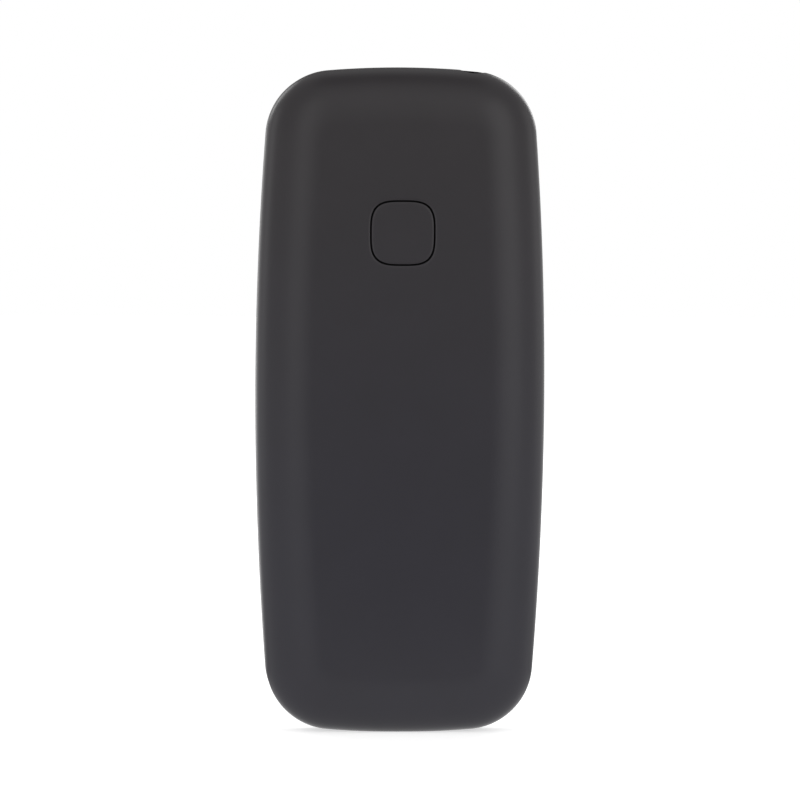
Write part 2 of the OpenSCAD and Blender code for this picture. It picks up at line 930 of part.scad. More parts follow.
// Outer shell of the back, with the openings for the key and the two sockets
module back_cover() {
    outer_steps = 9;
    inner_steps = 6;
    inner = [for (i = [inner_steps:-1:0])
        let (a = 90 * i / inner_steps)
        [cover_wall + (shoulder_w - cover_wall) * (1 - cos(a)),
            y_band + (shoulder_d - cover_wall) * sin(a)]];
    outer = [for (i = [0:outer_steps])
        let (a = 90 * i / outer_steps)
        [shoulder_w * (1 - cos(a)), y_band + shoulder_d * sin(a)]];
    steps = 48;
    color("#38363a")
        difference() {
            union() {
                loft(concat(inner, [
                    [cover_wall, y_rim],
                    [seam_bevel, y_rim],
                    [0, y_rim + seam_bevel]
                ], outer));
                translate([0, y_swing, z_swing])
                    rotate([0, 90, 0])
                        cylinder(r = catch_r, h = catch_l, center = true);
                cover_clips();
            }
            slab(y_lid - cut, y_back + cut)
                translate([0, assist_z])
                    polygon(squircle(assist_w / 2 + assist_gap, steps));
            translate([-jack_x, y_jack, jack_z1])
                cylinder(r = jack_hole_r, h = jack_setback + cut);
            block([-usb_w / 2 - slack, y_usb - usb_t / 2 - slack, -cut],
                [usb_w / 2 + slack, y_usb + usb_t / 2 + slack, cover_wall + cut]);
            below_flat();
        }
}

// Clip noses along the inside of the cover's two sides
module cover_clips() {
    for (side = [-1, 1])
        for (z = clip_levels) {
            face = half_at(z) - cover_wall;
            mirror([side < 0 ? 1 : 0, 0, 0])
                block([face - clip_reach, y_rim + clip_t, z - clip_l / 2],
                    [face + slack, y_rim + 2 * clip_t, z + clip_l / 2]);
        }
}

// Cylindrical motor with its shaft, lying along X
module vibration_motor() {
    color("#a9adb2")
        translate([motor_x0, y_motor, motor_z])
            rotate([0, 90, 0]) {
                cylinder(r = motor_r, h = motor_l);
                translate([0, 0, -slack - weight_l])
                    cylinder(r = shaft_r, h = slack + weight_l);
            }
}

// Half-round weight on the motor's shaft
module eccentric_weight() {
    hub_wall = 0.5;
    color("#7f7466")
        translate([weight_x0, y_motor, motor_z])
            rotate([0, 90, 0])
                difference() {
                    union() {
                        cylinder(r = shaft_r + hub_wall, h = weight_l);
                        intersection() {
                            cylinder(r = weight_r, h = weight_l);
                            translate([0, -weight_r, 0])
                                cube([weight_r, 2 * weight_r, weight_l]);
                        }
                    }
                    translate([0, 0, -cut])
                        cylinder(r = shaft_r + touch, h = weight_l + 2 * cut);
                }
}

// Charging socket: a flat metal shell with its tongue
module usb_port() {
    shell = 0.35;
    end_wall = 0.7;
    tongue_t = 0.6;
    tongue_half = 1.9;
    half = usb_w / 2;
    color("#b4b7bb") {
        difference() {
            block([-half, y_parts, usb_z0], [half, y_parts + usb_t, usb_z1]);
            block([shell - half, y_parts + shell, usb_z0 - cut],
                [half - shell, y_parts + usb_t - shell, usb_z1 - end_wall]);
        }
        block([-tongue_half, y_usb - tongue_t / 2, usb_z0 + shell],
            [tongue_half, y_usb + tongue_t / 2, usb_z1 - shell]);
    }
}

// Headset socket with its true bore, open at the top end, its back corners cut off
module audio_jack() {
    end_wall = 0.8;
    corner = 1.2;
    half = jack_w / 2;
    back = jack_t / 2;
    color("#18181a")
        translate([-jack_x, y_jack, jack_z0])
            difference() {
                linear_extrude(jack_l)
                    polygon([[-half, -back], [half, -back], [half, back - corner],
                        [half - corner, back], [corner - half, back], [-half, back - corner]]);
                translate([0, 0, end_wall])
                    cylinder(r = jack_bore_r, h = jack_l);
            }
}

module microphone() {
    mic_w = 3.6;
    mic_h = 2.8;
    color("#9a9da1")
        block([mic_x - mic_w / 2, y_in + slack, mic_z - mic_h / 2],
            [mic_x + mic_w / 2, y_board, mic_z + mic_h / 2]);
}

// Flat antenna on the upper deck
module antenna() {
    antenna_t = 0.15;
    antenna_h = 9;
    color("#c08a3e")
        slab(y_deck, y_deck + antenna_t)
            intersection() {
                polygon(outline(deck_in + chassis_wall));
                translate([-body_w, body_l - deck_in - chassis_wall - antenna_h])
                    square([2 * body_w, antenna_h + deck_in]);
            }
}

// Six screws through the chassis into the front housing's bosses
module housing_screws() {
    y_head = y_bay + screw_head_h;
    color("#8d9095")
        at_screws() {
            pin(0, 0, screw_r, y_in + thread_floor + touch, y_bay);
            difference() {
                pin(0, 0, screw_head_r, y_bay, y_head);
                pin(0, 0, drive_r, y_head - drive_d, y_head + cut, $fn = drive_sides);
            }
        }
}

back_cover();
assist_key();
assist_switch();
front_housing();
display_window();
display_gasket();
display_module();
display_flex();
earpiece();
earpiece_mesh();
keypad_mat();
number_key(-1, 3);  // key_1
number_key(0, 3);  // key_2
number_key(1, 3);  // key_3
number_key(-1, 2);  // key_4
number_key(0, 2);  // key_5
number_key(1, 2);  // key_6
number_key(-1, 1);  // key_7
number_key(0, 1);  // key_8
number_key(1, 1);  // key_9
number_key(-1, 0);  // key_star
number_key(0, 0);  // key_0
number_key(1, 0);  // key_hash
side_key(-1, 1);  // soft_key_left
side_key(1, 1);  // soft_key_right
side_key(-1, -1);  // call_key
side_key(1, -1);  // end_key
ok_key();
nav_ring();
nav_pad();
dome_switches();
main_board();
shield_cans();
rear_chassis();
battery();
battery_contacts();
sim_socket_1();
sim_socket_2();
memory_card_socket();
vibration_motor();
eccentric_weight();
usb_port();
audio_jack();
microphone();
antenna();
housing_screws();
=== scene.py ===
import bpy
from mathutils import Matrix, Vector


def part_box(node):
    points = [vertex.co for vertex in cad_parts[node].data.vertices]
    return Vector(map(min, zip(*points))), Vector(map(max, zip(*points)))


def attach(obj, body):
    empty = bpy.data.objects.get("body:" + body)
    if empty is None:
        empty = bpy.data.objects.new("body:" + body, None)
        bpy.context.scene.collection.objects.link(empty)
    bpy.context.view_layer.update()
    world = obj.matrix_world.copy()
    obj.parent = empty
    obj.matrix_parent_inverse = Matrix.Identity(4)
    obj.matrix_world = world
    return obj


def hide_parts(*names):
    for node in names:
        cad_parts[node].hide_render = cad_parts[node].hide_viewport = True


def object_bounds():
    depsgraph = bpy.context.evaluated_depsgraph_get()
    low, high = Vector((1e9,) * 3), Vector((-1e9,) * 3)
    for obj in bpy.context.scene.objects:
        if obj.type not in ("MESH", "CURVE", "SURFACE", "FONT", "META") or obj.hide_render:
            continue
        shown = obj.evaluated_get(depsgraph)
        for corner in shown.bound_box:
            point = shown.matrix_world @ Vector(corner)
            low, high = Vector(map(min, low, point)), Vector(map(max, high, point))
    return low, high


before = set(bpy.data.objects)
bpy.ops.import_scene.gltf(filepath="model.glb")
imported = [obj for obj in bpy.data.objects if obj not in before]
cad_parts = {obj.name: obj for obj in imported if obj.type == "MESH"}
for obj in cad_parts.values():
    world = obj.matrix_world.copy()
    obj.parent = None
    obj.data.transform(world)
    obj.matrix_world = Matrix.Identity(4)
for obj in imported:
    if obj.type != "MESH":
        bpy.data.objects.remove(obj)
cadBox = [list(corner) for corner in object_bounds()]

import math
import bmesh
import bpy
import numpy
from mathutils import Quaternion, Vector
from mathutils.geometry import delaunay_2d_cdt

mm = 0.001               # sizes below are in mm, the scene is in metres
fullTurn, quarterTurn = 2 * math.pi, math.pi / 2
collection = bpy.context.scene.collection
print("frame loaded,", len(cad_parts), "nodes")


def nodeBox(node):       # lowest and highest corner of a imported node, in mm
    low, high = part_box(node)
    return [c / mm for c in low], [c / mm for c in high]


def nodeMiddle(node):
    return [(a + b) / 2 for a, b in zip(*nodeBox(node))]


def nodeSpan(node):      # how wide, thick and long a node is
    return [b - a for a, b in zip(*nodeBox(node))]


class Plug:              # one socket of a node tree, so that sums on it read as sums
    def __init__(self, tree, socket=None):
        self.tree, self.socket = tree, socket

    def make(self, kind, settings=None, values=None, out=0):
        node = self.tree.nodes.new(kind)
        for key, value in (settings or {}).items():
            setattr(node, key, value)
        for key, value in (values or {}).items():
            socket = node.inputs[key]
            links = value if isinstance(value, list) else [value]
            if isinstance(links[0], Plug):
                for plug in links:
                    self.tree.links.new(plug.socket, socket)
            elif socket.type == "RGBA" and len(value) == 3:
                socket.default_value = (*value, 1)
            else:
                socket.default_value = value
        return Plug(self.tree, node.outputs[out] if len(node.outputs) else None)

    def maths(self, how, first, second=0.0):
        return self.make("ShaderNodeMath", {"operation": how}, {0: first, 1: second})

    def __add__(self, other): return self.maths("ADD", self, other)
    def __radd__(self, other): return self.maths("ADD", other, self)
    def __sub__(self, other): return self.maths("SUBTRACT", self, other)
    def __rsub__(self, other): return self.maths("SUBTRACT", other, self)
    def __mul__(self, other): return self.maths("MULTIPLY", self, other)
    def __rmul__(self, other): return self.maths("MULTIPLY", other, self)
    def __gt__(self, other): return self.maths("GREATER_THAN", self, other)
    def __lt__(self, other): return self.maths("LESS_THAN", self, other)

    def axes(self):      # the three numbers of a vector
        return [self.make("ShaderNodeSeparateXYZ", values={0: self}, out=i) for i in range(3)]

    def blend(self, first, second):      # colour from first to second as this value goes 0 to 1
        return self.make("ShaderNodeMix", {"data_type": "RGBA"}, {0: self, 6: first, 7: second}, out=2)

    def noise(self, spot, size, detail=2.0):
        return self.make("ShaderNodeTexNoise", values={"Vector": spot, "Scale": 1 / (size * mm), "Detail": detail})

    def ramp(self, value, first, last, top):     # smooth rise from 0 to top as the value goes from first to last
        return self.make("ShaderNodeMapRange", {"interpolation_type": "SMOOTHSTEP"},
                         {0: value, 1: first, 2: last, 3: 0.0, 4: top})

    def bump(self, height, strength, depth):
        return self.make("ShaderNodeBump", values={"Height": height, "Strength": strength, "Distance": depth * mm})


finishes = {}


def newFinish(name):     # an empty finish: its plug and its Object coordinates
    finish = finishes[name] = bpy.data.materials.new(name)
    finish.use_nodes = True
    finish.node_tree.nodes.clear()
    plug = Plug(finish.node_tree)
    return plug, plug.make("ShaderNodeTexCoord", out="Object")


def dress(plug, values):
    surface = plug.make("ShaderNodeBsdfPrincipled", values=values)
    plug.make("ShaderNodeOutputMaterial", values={"Surface": surface})


def uneven(look, pattern):               # roughness that follows a pattern
    return look["rough"] + (pattern - 0.5) * look["roughVary"]


def shades(colour, vary):                # a darker and a paler shade of a colour
    return [[c * (1 + side * vary) for c in colour] for side in (-1, 1)]


# each finish: colour, how far it varies, size of its mottling and grain in mm, bump,
# roughness and how far it varies, specular level, metallic
finishLooks = {
    "softTouchBlack": ((0.0168, 0.0136, 0.0160), 0.14, 9.0, 0.16, 0.10, 0.33, 0.06, 0.36, 0.0),
    "shellBlack": ((0.0150, 0.0150, 0.0160), 0.18, 6.0, 0.12, 0.12, 0.40, 0.12, 0.40, 0.0),
    "keyBlack": ((0.0210, 0.0210, 0.0230), 0.15, 4.0, 0.09, 0.08, 0.34, 0.10, 0.45, 0.0),
    "okSatin": ((0.0420, 0.0425, 0.0460), 0.12, 3.0, 0.08, 0.06, 0.30, 0.08, 0.50, 0.0),
    "legendWhite": ((0.72, 0.73, 0.74), 0.06, 1.5, 0.10, 0.05, 0.50, 0.08, 0.40, 0.0),
    "legendGreen": ((0.040, 0.46, 0.090), 0.08, 1.5, 0.10, 0.05, 0.48, 0.08, 0.40, 0.0),
    "legendRed": ((0.62, 0.030, 0.025), 0.08, 1.5, 0.10, 0.05, 0.48, 0.08, 0.40, 0.0),
    "ringSilver": ((0.46, 0.47, 0.49), 0.08, 2.0, 0.07, 0.05, 0.30, 0.12, 0.50, 0.85),
    "chassisBlack": ((0.0170, 0.0170, 0.0180), 0.20, 5.0, 0.22, 0.22, 0.46, 0.14, 0.42, 0.0),
    "socketBlack": ((0.0120, 0.0120, 0.0130), 0.15, 3.0, 0.12, 0.10, 0.38, 0.10, 0.45, 0.0),
    # painted shade: near-black for the walls of openings and gaps in the cover and rear key
    "holeBlack": ((0.0035, 0.0035, 0.0038), 0.15, 3.0, 0.12, 0.05, 0.55, 0.08, 0.12, 0.0),
    "matRubber": ((0.085, 0.086, 0.090), 0.14, 4.0, 0.14, 0.15, 0.62, 0.10, 0.35, 0.0),
    "foamDark": ((0.028, 0.028, 0.030), 0.45, 0.5, 0.20, 0.60, 0.85, 0.10, 0.15, 0.0),
    "canTin": ((0.60, 0.60, 0.59), 0.08, 3.5, 0.25, 0.10, 0.32, 0.18, 0.50, 1.0),
    "meshSteel": ((0.13, 0.13, 0.135), 0.10, 0.8, 0.08, 0.05, 0.36, 0.12, 0.50, 1.0),
    "domeSteel": ((0.58, 0.57, 0.55), 0.08, 1.2, 0.15, 0.08, 0.24, 0.12, 0.50, 1.0),
    "contactGold": ((0.80, 0.56, 0.22), 0.10, 1.0, 0.12, 0.06, 0.26, 0.14, 0.50, 1.0),
    "weightGrey": ((0.30, 0.28, 0.26), 0.14, 0.8, 0.14, 0.18, 0.42, 0.14, 0.50, 1.0),
    "screwSteel": ((0.36, 0.36, 0.37), 0.10, 0.6, 0.10, 0.08, 0.28, 0.14, 0.50, 1.0),
    "borderBlack": ((0.0042, 0.0042, 0.0048), 0.20, 5.0, 0.10, 0.03, 0.30, 0.08, 0.12, 0.0),
}
paintedCoolLightTints = {"softTouchBlack": ((0.0152, 0.0136, 0.0214), (20, 118))}     # painted cool light: bluish tint of the lower end, and where it fades


def plainFinish(name):
    colour, vary, mottleSize, grainSize, bump, rough, roughVary, specular, metallic = finishLooks[name]
    plug, spot = newFinish(name)
    mottle, grain = plug.noise(spot, mottleSize, 3.0), plug.noise(spot, grainSize)
    shade = mottle.blend(*shades(colour, vary))
    # painted cool light: the colour drifts to a bluish tint towards the lower end
    if name in paintedCoolLightTints:
        tint, (bottom, top) = paintedCoolLightTints[name]
        shade = plug.ramp(spot.axes()[2], bottom * mm, top * mm, 1.0).blend(mottle.blend(*shades(tint, vary)), shade)
    dress(plug, {"Base Color": shade, "Roughness": rough + (grain - 0.5) * roughVary, "Metallic": metallic,
                 "Specular IOR Level": specular, "Normal": plug.bump(grain, bump, grainSize / 3)})


for name in finishLooks:
    plainFinish(name)

displayLook = {"panel": (0.0125, 0.0145, 0.0175), "cell": 0.16, "cellEdge": 0.1, "cellDeep": 0.05,
               "rough": 0.22, "cellRough": 0.04, "specular": 0.12}


def displayFinish():     # switched-off panel: a very fine grid of cells under a polariser
    look = displayLook
    plug, spot = newFinish("displayPanel")
    x, z = spot.axes()[::2]
    step = fullTurn / (look["cell"] * mm)
    cell = plug.maths("COSINE", x * (3 * step)) * 0.5 + plug.maths("COSINE", z * step) * 0.5 > look["cellEdge"]
    dress(plug, {"Base Color": cell.blend(*shades(look["panel"], look["cellDeep"])),
                 "Specular IOR Level": look["specular"], "Roughness": look["rough"] + cell * look["cellRough"]})


windowLook = {"tint": (0.010, 0.011, 0.013), "solid": 0.34, "rough": 0.03, "roughVary": 0.04, "patch": 14.0}


def windowFinish():      # smoked clear plastic, a trace smudged
    look = windowLook
    plug, spot = newFinish("windowClear")
    dress(plug, {"Base Color": look["tint"], "Alpha": look["solid"],
                 "Roughness": look["rough"] + plug.noise(spot, look["patch"]) * look["roughVary"]})


wrapLook = {"grey": (0.235, 0.240, 0.250), "cap": (0.016, 0.016, 0.017), "panel": (0.30, 0.305, 0.315),
            "capDeep": 3.2, "lineIn": 2.2, "lineWide": 0.35, "lineShade": 0.35, "mottle": 5.0, "mottleShare": 0.18,
            "grain": 0.12, "bump": (0.10, 0.04), "rough": 0.40, "roughVary": 0.12, "capRough": 0.06, "specular": 0.45}


def wrapFinish():        # battery: printed wrap, a framed bare panel and dark end caps
    look = wrapLook
    plug, spot = newFinish("batteryWrap")
    low, high = nodeBox("battery")
    x, z = spot.axes()[::2]
    fromEnd = plug.maths("MINIMUM", z - low[2] * mm, high[2] * mm - z)
    fromSide = high[0] * mm - plug.maths("ABSOLUTE", x)
    fromEdge = plug.maths("MINIMUM", fromEnd - look["capDeep"] * mm, fromSide)
    cap = fromEnd < look["capDeep"] * mm
    inside = fromEdge > look["lineIn"] * mm
    line = inside * (fromEdge < (look["lineIn"] + look["lineWide"]) * mm)
    mottle, grain = plug.noise(spot, look["mottle"], 3.0), plug.noise(spot, look["grain"])
    body = inside.blend(look["grey"], look["panel"])
    body = line.blend(body, [c * look["lineShade"] for c in look["grey"]])
    body = (mottle * look["mottleShare"]).blend(body, look["cap"])
    dress(plug, {"Base Color": cap.blend(body, look["cap"]), "Specular IOR Level": look["specular"],
                 "Roughness": uneven(look, grain) + cap * look["capRough"],
                 "Normal": plug.bump(grain, *look["bump"])})


boardLook = {"mask": (0.010, 0.075, 0.030), "trace": (0.020, 0.130, 0.050), "cell": 2.4, "traceEdge": 0.10,
             "mottle": 1.2, "mottleShare": 0.3, "bump": (0.30, 0.05), "rough": 0.34, "roughVary": 0.15}


def boardFinish():       # green solder mask over copper runs
    look = boardLook
    plug, spot = newFinish("boardGreen")
    trace = plug.make("ShaderNodeTexVoronoi", {"distance": "CHEBYCHEV", "feature": "DISTANCE_TO_EDGE"},
                      {"Vector": spot, "Scale": 1 / (look["cell"] * mm)}) < look["traceEdge"]
    mottle = plug.noise(spot, look["mottle"], 3.0)
    colour = trace.blend(look["mask"], look["trace"])
    dress(plug, {"Base Color": (mottle * look["mottleShare"]).blend(colour, look["mask"]),
                 "Roughness": uneven(look, mottle), "Normal": plug.bump(trace, *look["bump"])})


flexLook = {"film": (0.30, 0.105, 0.018), "copper": (0.62, 0.30, 0.13), "pitch": 1.6, "stripEdge": 0.1,
            "metallic": 0.55, "mottle": 1.5, "mottleShare": 0.25, "bump": (0.25, 0.04),
            "rough": 0.30, "roughVary": 0.12}


def flexFinish():        # amber film with copper strips seen through it
    look = flexLook
    plug, spot = newFinish("flexAmber")
    strip = plug.maths("SINE", spot.axes()[2] * (fullTurn / (look["pitch"] * mm))) > look["stripEdge"]
    mottle = plug.noise(spot, look["mottle"], 3.0)
    colour = strip.blend(look["film"], look["copper"])
    dress(plug, {"Base Color": (mottle * look["mottleShare"]).blend(colour, look["film"]),
                 "Metallic": strip * look["metallic"], "Roughness": uneven(look, mottle),
                 "Normal": plug.bump(strip, *look["bump"])})


portLook = {"shell": (0.40, 0.40, 0.41), "tongue": (0.010, 0.010, 0.011), "gold": (0.80, 0.56, 0.22),
            "tongueHalf": 2.0, "tongueThick": 0.36, "contactPitch": 0.65, "contactEdge": 0.2,
            "grain": 0.15, "bump": (0.06, 0.04), "rough": 0.28, "roughVary": 0.12}


def portFinish():        # steel shell, dark tongue and five contact strips
    look = portLook
    plug, spot = newFinish("portSteel")
    x, y = spot.axes()[:2]
    middleY = nodeMiddle("usb_port")[1] * mm
    tongue = (plug.maths("ABSOLUTE", x) < look["tongueHalf"] * mm) * (
        plug.maths("ABSOLUTE", y - middleY) < look["tongueThick"] * mm)
    strip = plug.maths("COSINE", x * (fullTurn / (look["contactPitch"] * mm))) > look["contactEdge"]
    strip = strip * tongue * (y < middleY)
    grain = plug.noise(spot, look["grain"])
    colour = tongue.blend(look["shell"], look["tongue"])
    dress(plug, {"Base Color": strip.blend(colour, look["gold"]), "Metallic": 1 - tongue + strip,
                 "Roughness": uneven(look, grain), "Normal": plug.bump(grain, *look["bump"])})


contactLook = {"block": (0.014, 0.014, 0.015), "gold": (0.80, 0.56, 0.22), "blockLong": 3.36,
               "grain": 0.12, "bump": (0.08, 0.04), "rough": 0.36, "roughVary": 0.12, "bladeSmooth": 0.10}


def contactFinish():     # dark moulded block with gilt blades towards the battery
    look = contactLook
    plug, spot = newFinish("contactBlock")
    blockZ = nodeBox("battery_contacts")[1][2] - look["blockLong"]
    grain = plug.noise(spot, look["grain"])
    blade = spot.axes()[2] < blockZ * mm
    dress(plug, {"Base Color": blade.blend(look["block"], look["gold"]), "Metallic": blade,
                 "Roughness": uneven(look, grain) - blade * look["bladeSmooth"],
                 "Normal": plug.bump(grain, *look["bump"])})


for makeFinish in (displayFinish, windowFinish, wrapFinish, boardFinish, flexFinish, portFinish, contactFinish):
    makeFinish()

# finish of each material slot of the record
slotFinish = {
    "cover_plastic": "softTouchBlack", "housing_plastic": "shellBlack", "window_clear": "windowClear",
    "foam": "foamDark", "display_dark": "displayPanel", "flex_film": "flexAmber",
    "earpiece_can": "canTin", "mesh_metal": "meshSteel", "mat_rubber": "matRubber",
    "key_plastic": "keyBlack", "ring_satin": "ringSilver", "dome_metal": "domeSteel",
    "board_green": "boardGreen", "can_metal": "canTin", "chassis_plastic": "chassisBlack",
    "battery_wrap": "batteryWrap", "contact_gold": "contactGold", "weight_metal": "weightGrey",
    "socket_plastic": "socketBlack", "screw_steel": "screwSteel",
}
nodeSlot = {name: node.data.materials[0].name for name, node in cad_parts.items()}
for name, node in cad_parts.items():
    for holder in node.material_slots:
        holder.material = finishes[slotFinish[nodeSlot[name]]]
print("finishes made,", len(finishes))


class Solid:             # points and faces of a piece as it is put together, in mm
    def __init__(self):
        self.points, self.faces, self.marks = [], [], []

    def ring(self, points):
        first = len(self.points)
        self.points.extend(points)
        return list(range(first, len(self.points)))

    def face(self, corners, mark=0):
        self.faces.append(tuple(corners))
        self.marks.append(mark)

    def bands(self, rings, closed=False, mark=0):        # walls from each ring to the next
        following = rings[1:] + (rings[:1] if closed else [])
        for ring, after in zip(rings, following):
            for i in range(len(ring)):
                j = (i + 1) % len(ring)
                self.face((ring[i], ring[j], after[j], after[i]), mark)

    def capped(self, rings, mark=0):     # walls and a face at each end
        self.bands(rings, mark=mark)
        self.face(rings[0], mark)
        self.face(rings[-1], mark)

    def fan(self, tip, ring):
        for i in range(len(ring)):
            self.face((tip, ring[i], ring[(i + 1) % len(ring)]))

    def flat(self, loops, mark=0):       # level face between an outer loop and its holes
        spots = [p for loop in loops for p in loop]
        plan = numpy.array([(self.points[p][0], self.points[p][2]) for p in spots])
        edges, first = [], 0
        for loop in loops:
            count = len(loop)
            edges += [(first + i, first + (i + 1) % count) for i in range(count)]
            first += count
        made = delaunay_2d_cdt([Vector(p) for p in plan], edges, [], 0, 1e-6)
        start, stop = plan[[a for a, b in edges]], plan[[b for a, b in edges]]
        for corners in made[2]:
            x, z = sum((made[0][c] for c in corners), Vector((0, 0))) / 3
            crosses = (start[:, 1] > z) != (stop[:, 1] > z)
            a, b = start[crosses], stop[crosses]
            hits = a[:, 0] + (z - a[:, 1]) * (b[:, 0] - a[:, 0]) / (b[:, 1] - a[:, 1])
            if (hits > x).sum() % 2:
                self.face([spots[made[3][c][0]] for c in corners], mark)

    def prism(self, plan, y0, y1, mark=0, level=None):   # a flat shape with thickness, on a level surface
        rise = level or (lambda x, z: 0)
        rings = [self.ring([(x, y + rise(x, z), z) for x, z in plan]) for y in (y0, y1)]
        self.bands(rings, mark=mark)
        for ring in rings:
            self.flat([ring], mark)


def linkMesh(name, mesh, finishNames):
    for finishName in finishNames:
        mesh.materials.append(finishes[finishName])
    piece = bpy.data.objects.new(name, mesh)
    collection.objects.link(piece)
    return piece


def solidPiece(name, solid, *finishNames):
    mesh = bpy.data.meshes.new(name)
    mesh.from_pydata([[c * mm for c in p] for p in solid.points], [], solid.faces)
    mesh.polygons.foreach_set("material_index", solid.marks)
    form = bmesh.new()
    form.from_mesh(mesh)
    bmesh.ops.remove_doubles(form, verts=form.verts, dist=1e-8)
    bmesh.ops.recalc_face_normals(form, faces=form.faces)
    form.to_mesh(mesh)
    form.free()
    return linkMesh(name, mesh, finishNames)


def plainMesh(holder):   # the mesh that an object's modifiers or curve give
    graph = bpy.context.evaluated_depsgraph_get()
    return bpy.data.meshes.new_from_object(holder.evaluated_get(graph), depsgraph=graph)


def settle(piece):       # the modifiers' result becomes the piece's own mesh
    mesh, old = plainMesh(piece), piece.data
    piece.modifiers.clear()
    piece.data = mesh
    mesh.name = piece.name
    bpy.data.meshes.remove(old)


def carve(piece, *tools):
    for tool in tools:
        cutting = piece.modifiers.new("carve", "BOOLEAN")
        cutting.operation, cutting.solver, cutting.object = "DIFFERENCE", "EXACT", tool
        cutting.material_mode = "TRANSFER"
    settle(piece)
    for tool in tools:
        bpy.data.objects.remove(tool)


def easeEdges(piece, width, angle, **settings):
    easing = piece.modifiers.new("easing", "BEVEL")
    easing.width, easing.segments = width * mm, 2
    easing.limit_method, easing.angle_limit = "ANGLE", math.radians(angle)
    for key, value in settings.items():
        setattr(easing, key, value)
    settle(piece)


def place(piece, body, node=None, slot=None, sharp=35):
    if sharp:
        piece.data.shade_smooth()
        piece.data.set_sharp_from_angle(angle=math.radians(sharp))
    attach(piece, body)
    if node:
        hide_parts(node)
    slot or nodeSlot[node]


softening = {"merge": 2e-6, "flat": 0.5, "edge": 30}     # metres, then degrees


def softened(name, node, width, finishName=None, body="phone"):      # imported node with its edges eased
    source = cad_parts[node].data
    solid = Solid()
    solid.ring([[c / mm for c in v.co] for v in source.vertices])
    for polygon in source.polygons:
        solid.face(polygon.vertices)
    piece = solidPiece(name, solid, finishName or slotFinish[nodeSlot[node]])
    form = bmesh.new()
    form.from_mesh(piece.data)
    bmesh.ops.remove_doubles(form, verts=form.verts, dist=softening["merge"])
    bmesh.ops.dissolve_limit(form, angle_limit=math.radians(softening["flat"]), verts=form.verts, edges=form.edges)
    form.to_mesh(piece.data)
    form.free()
    piece.data.shade_smooth()
    easeEdges(piece, width, softening["edge"], miter_outer="MITER_ARC", harden_normals=True)
    place(piece, body, node, sharp=0)


# outline of the body in plan: two side arcs, two end arcs, four corner arcs
bodyPlan = {
    "sideArc": 621.0, "endArc": 149.0, "corner": 11.7,       # radii
    "widestRise": 1.7,       # widest level above the middle of the length
    "footCut": 0.15,         # depth of the standing flat
    "sideSteps": 16, "cornerSteps": 28, "endSteps": 16,
}
halfWide, tall, backY = cadBox[1][0] / mm, cadBox[1][2] / mm, cadBox[1][1] / mm
widestZ = (tall - bodyPlan["footCut"]) / 2 + bodyPlan["widestRise"]


def arcPoints(centre, radius, first, last, steps):
    turns = [first + (last - first) * i / steps for i in range(steps)]
    return [(centre[0] + radius * math.cos(t), centre[1] + radius * math.sin(t)) for t in turns]


def quarterPlan(inset, reach):           # from the widest level round to one end
    sideArc, endArc, corner = bodyPlan["sideArc"], bodyPlan["endArc"], bodyPlan["corner"]
    side, end = Vector((halfWide - sideArc, 0)), Vector((0, reach - endArc))
    way = end - side
    apart = way.length
    way /= apart
    run = ((sideArc - corner) ** 2 - (endArc - corner) ** 2 + apart ** 2) / (2 * apart)
    off = math.sqrt((sideArc - corner) ** 2 - run ** 2)
    turn = 1 if way.x > 0 > way.y else -1
    middle = side + run * way + turn * off * Vector((-way.y, way.x))
    fromSide, fromEnd = middle - side, middle - end
    sideTurn, endTurn = math.atan2(fromSide.y, fromSide.x), math.atan2(fromEnd.y, fromEnd.x)
    return (arcPoints(side, sideArc - inset, 0, sideTurn, bodyPlan["sideSteps"])
            + arcPoints(middle, corner - inset, sideTurn, endTurn, bodyPlan["cornerSteps"])
            + arcPoints(end, endArc - inset, endTurn, quarterTurn, bodyPlan["endSteps"])
            + [(0, reach - inset)])


def bodyRing(inset, y):
    up = quarterPlan(inset, tall - widestZ)
    down = quarterPlan(inset, widestZ + bodyPlan["footCut"])
    plan = (up + [(-x, z) for x, z in up[-2::-1]]
            + [(-x, -z) for x, z in down[1:]] + [(x, -z) for x, z in down[-2:0:-1]])
    return [(x, y, widestZ + z) for x, z in plan]


def roundedRect(wide, high, radius, cornerSteps, sideSteps):
    arcs = []
    for sideX, sideZ, turn in ((1, 1, 0), (-1, 1, 90), (-1, -1, 180), (1, -1, 270)):
        x, z = sideX * (wide / 2 - radius), sideZ * (high / 2 - radius)
        turns = [math.radians(turn + 90 * i / cornerSteps) for i in range(cornerSteps + 1)]
        arcs.append([(x + radius * math.cos(t), z + radius * math.sin(t)) for t in turns])
    plan = []
    for arc, after in zip(arcs, arcs[1:] + arcs[:1]):
        (x0, z0), (x1, z1) = arc[-1], after[0]
        plan += arc + [(x0 + (x1 - x0) * i / sideSteps, z0 + (z1 - z0) * i / sideSteps) for i in range(1, sideSteps)]
    return plan


def insetRect(wide, high, radius, *steps):           # a rounded rectangle that can be set in
    return lambda inset: roundedRect(wide - 2 * inset, high - 2 * inset, radius - inset, *steps)


def circlePlan(radius, steps):
    return arcPoints((0, 0), radius, 0, fullTurn, steps)


def moved(plan, centre):
    return [(x + centre[0], z + centre[1]) for x, z in plan]


def turned(plan, turn):
    return [(x * math.cos(turn) - z * math.sin(turn), x * math.sin(turn) + z * math.cos(turn)) for x, z in plan]


def atLevel(plan, y):
    return [(x, y, z) for x, z in plan]


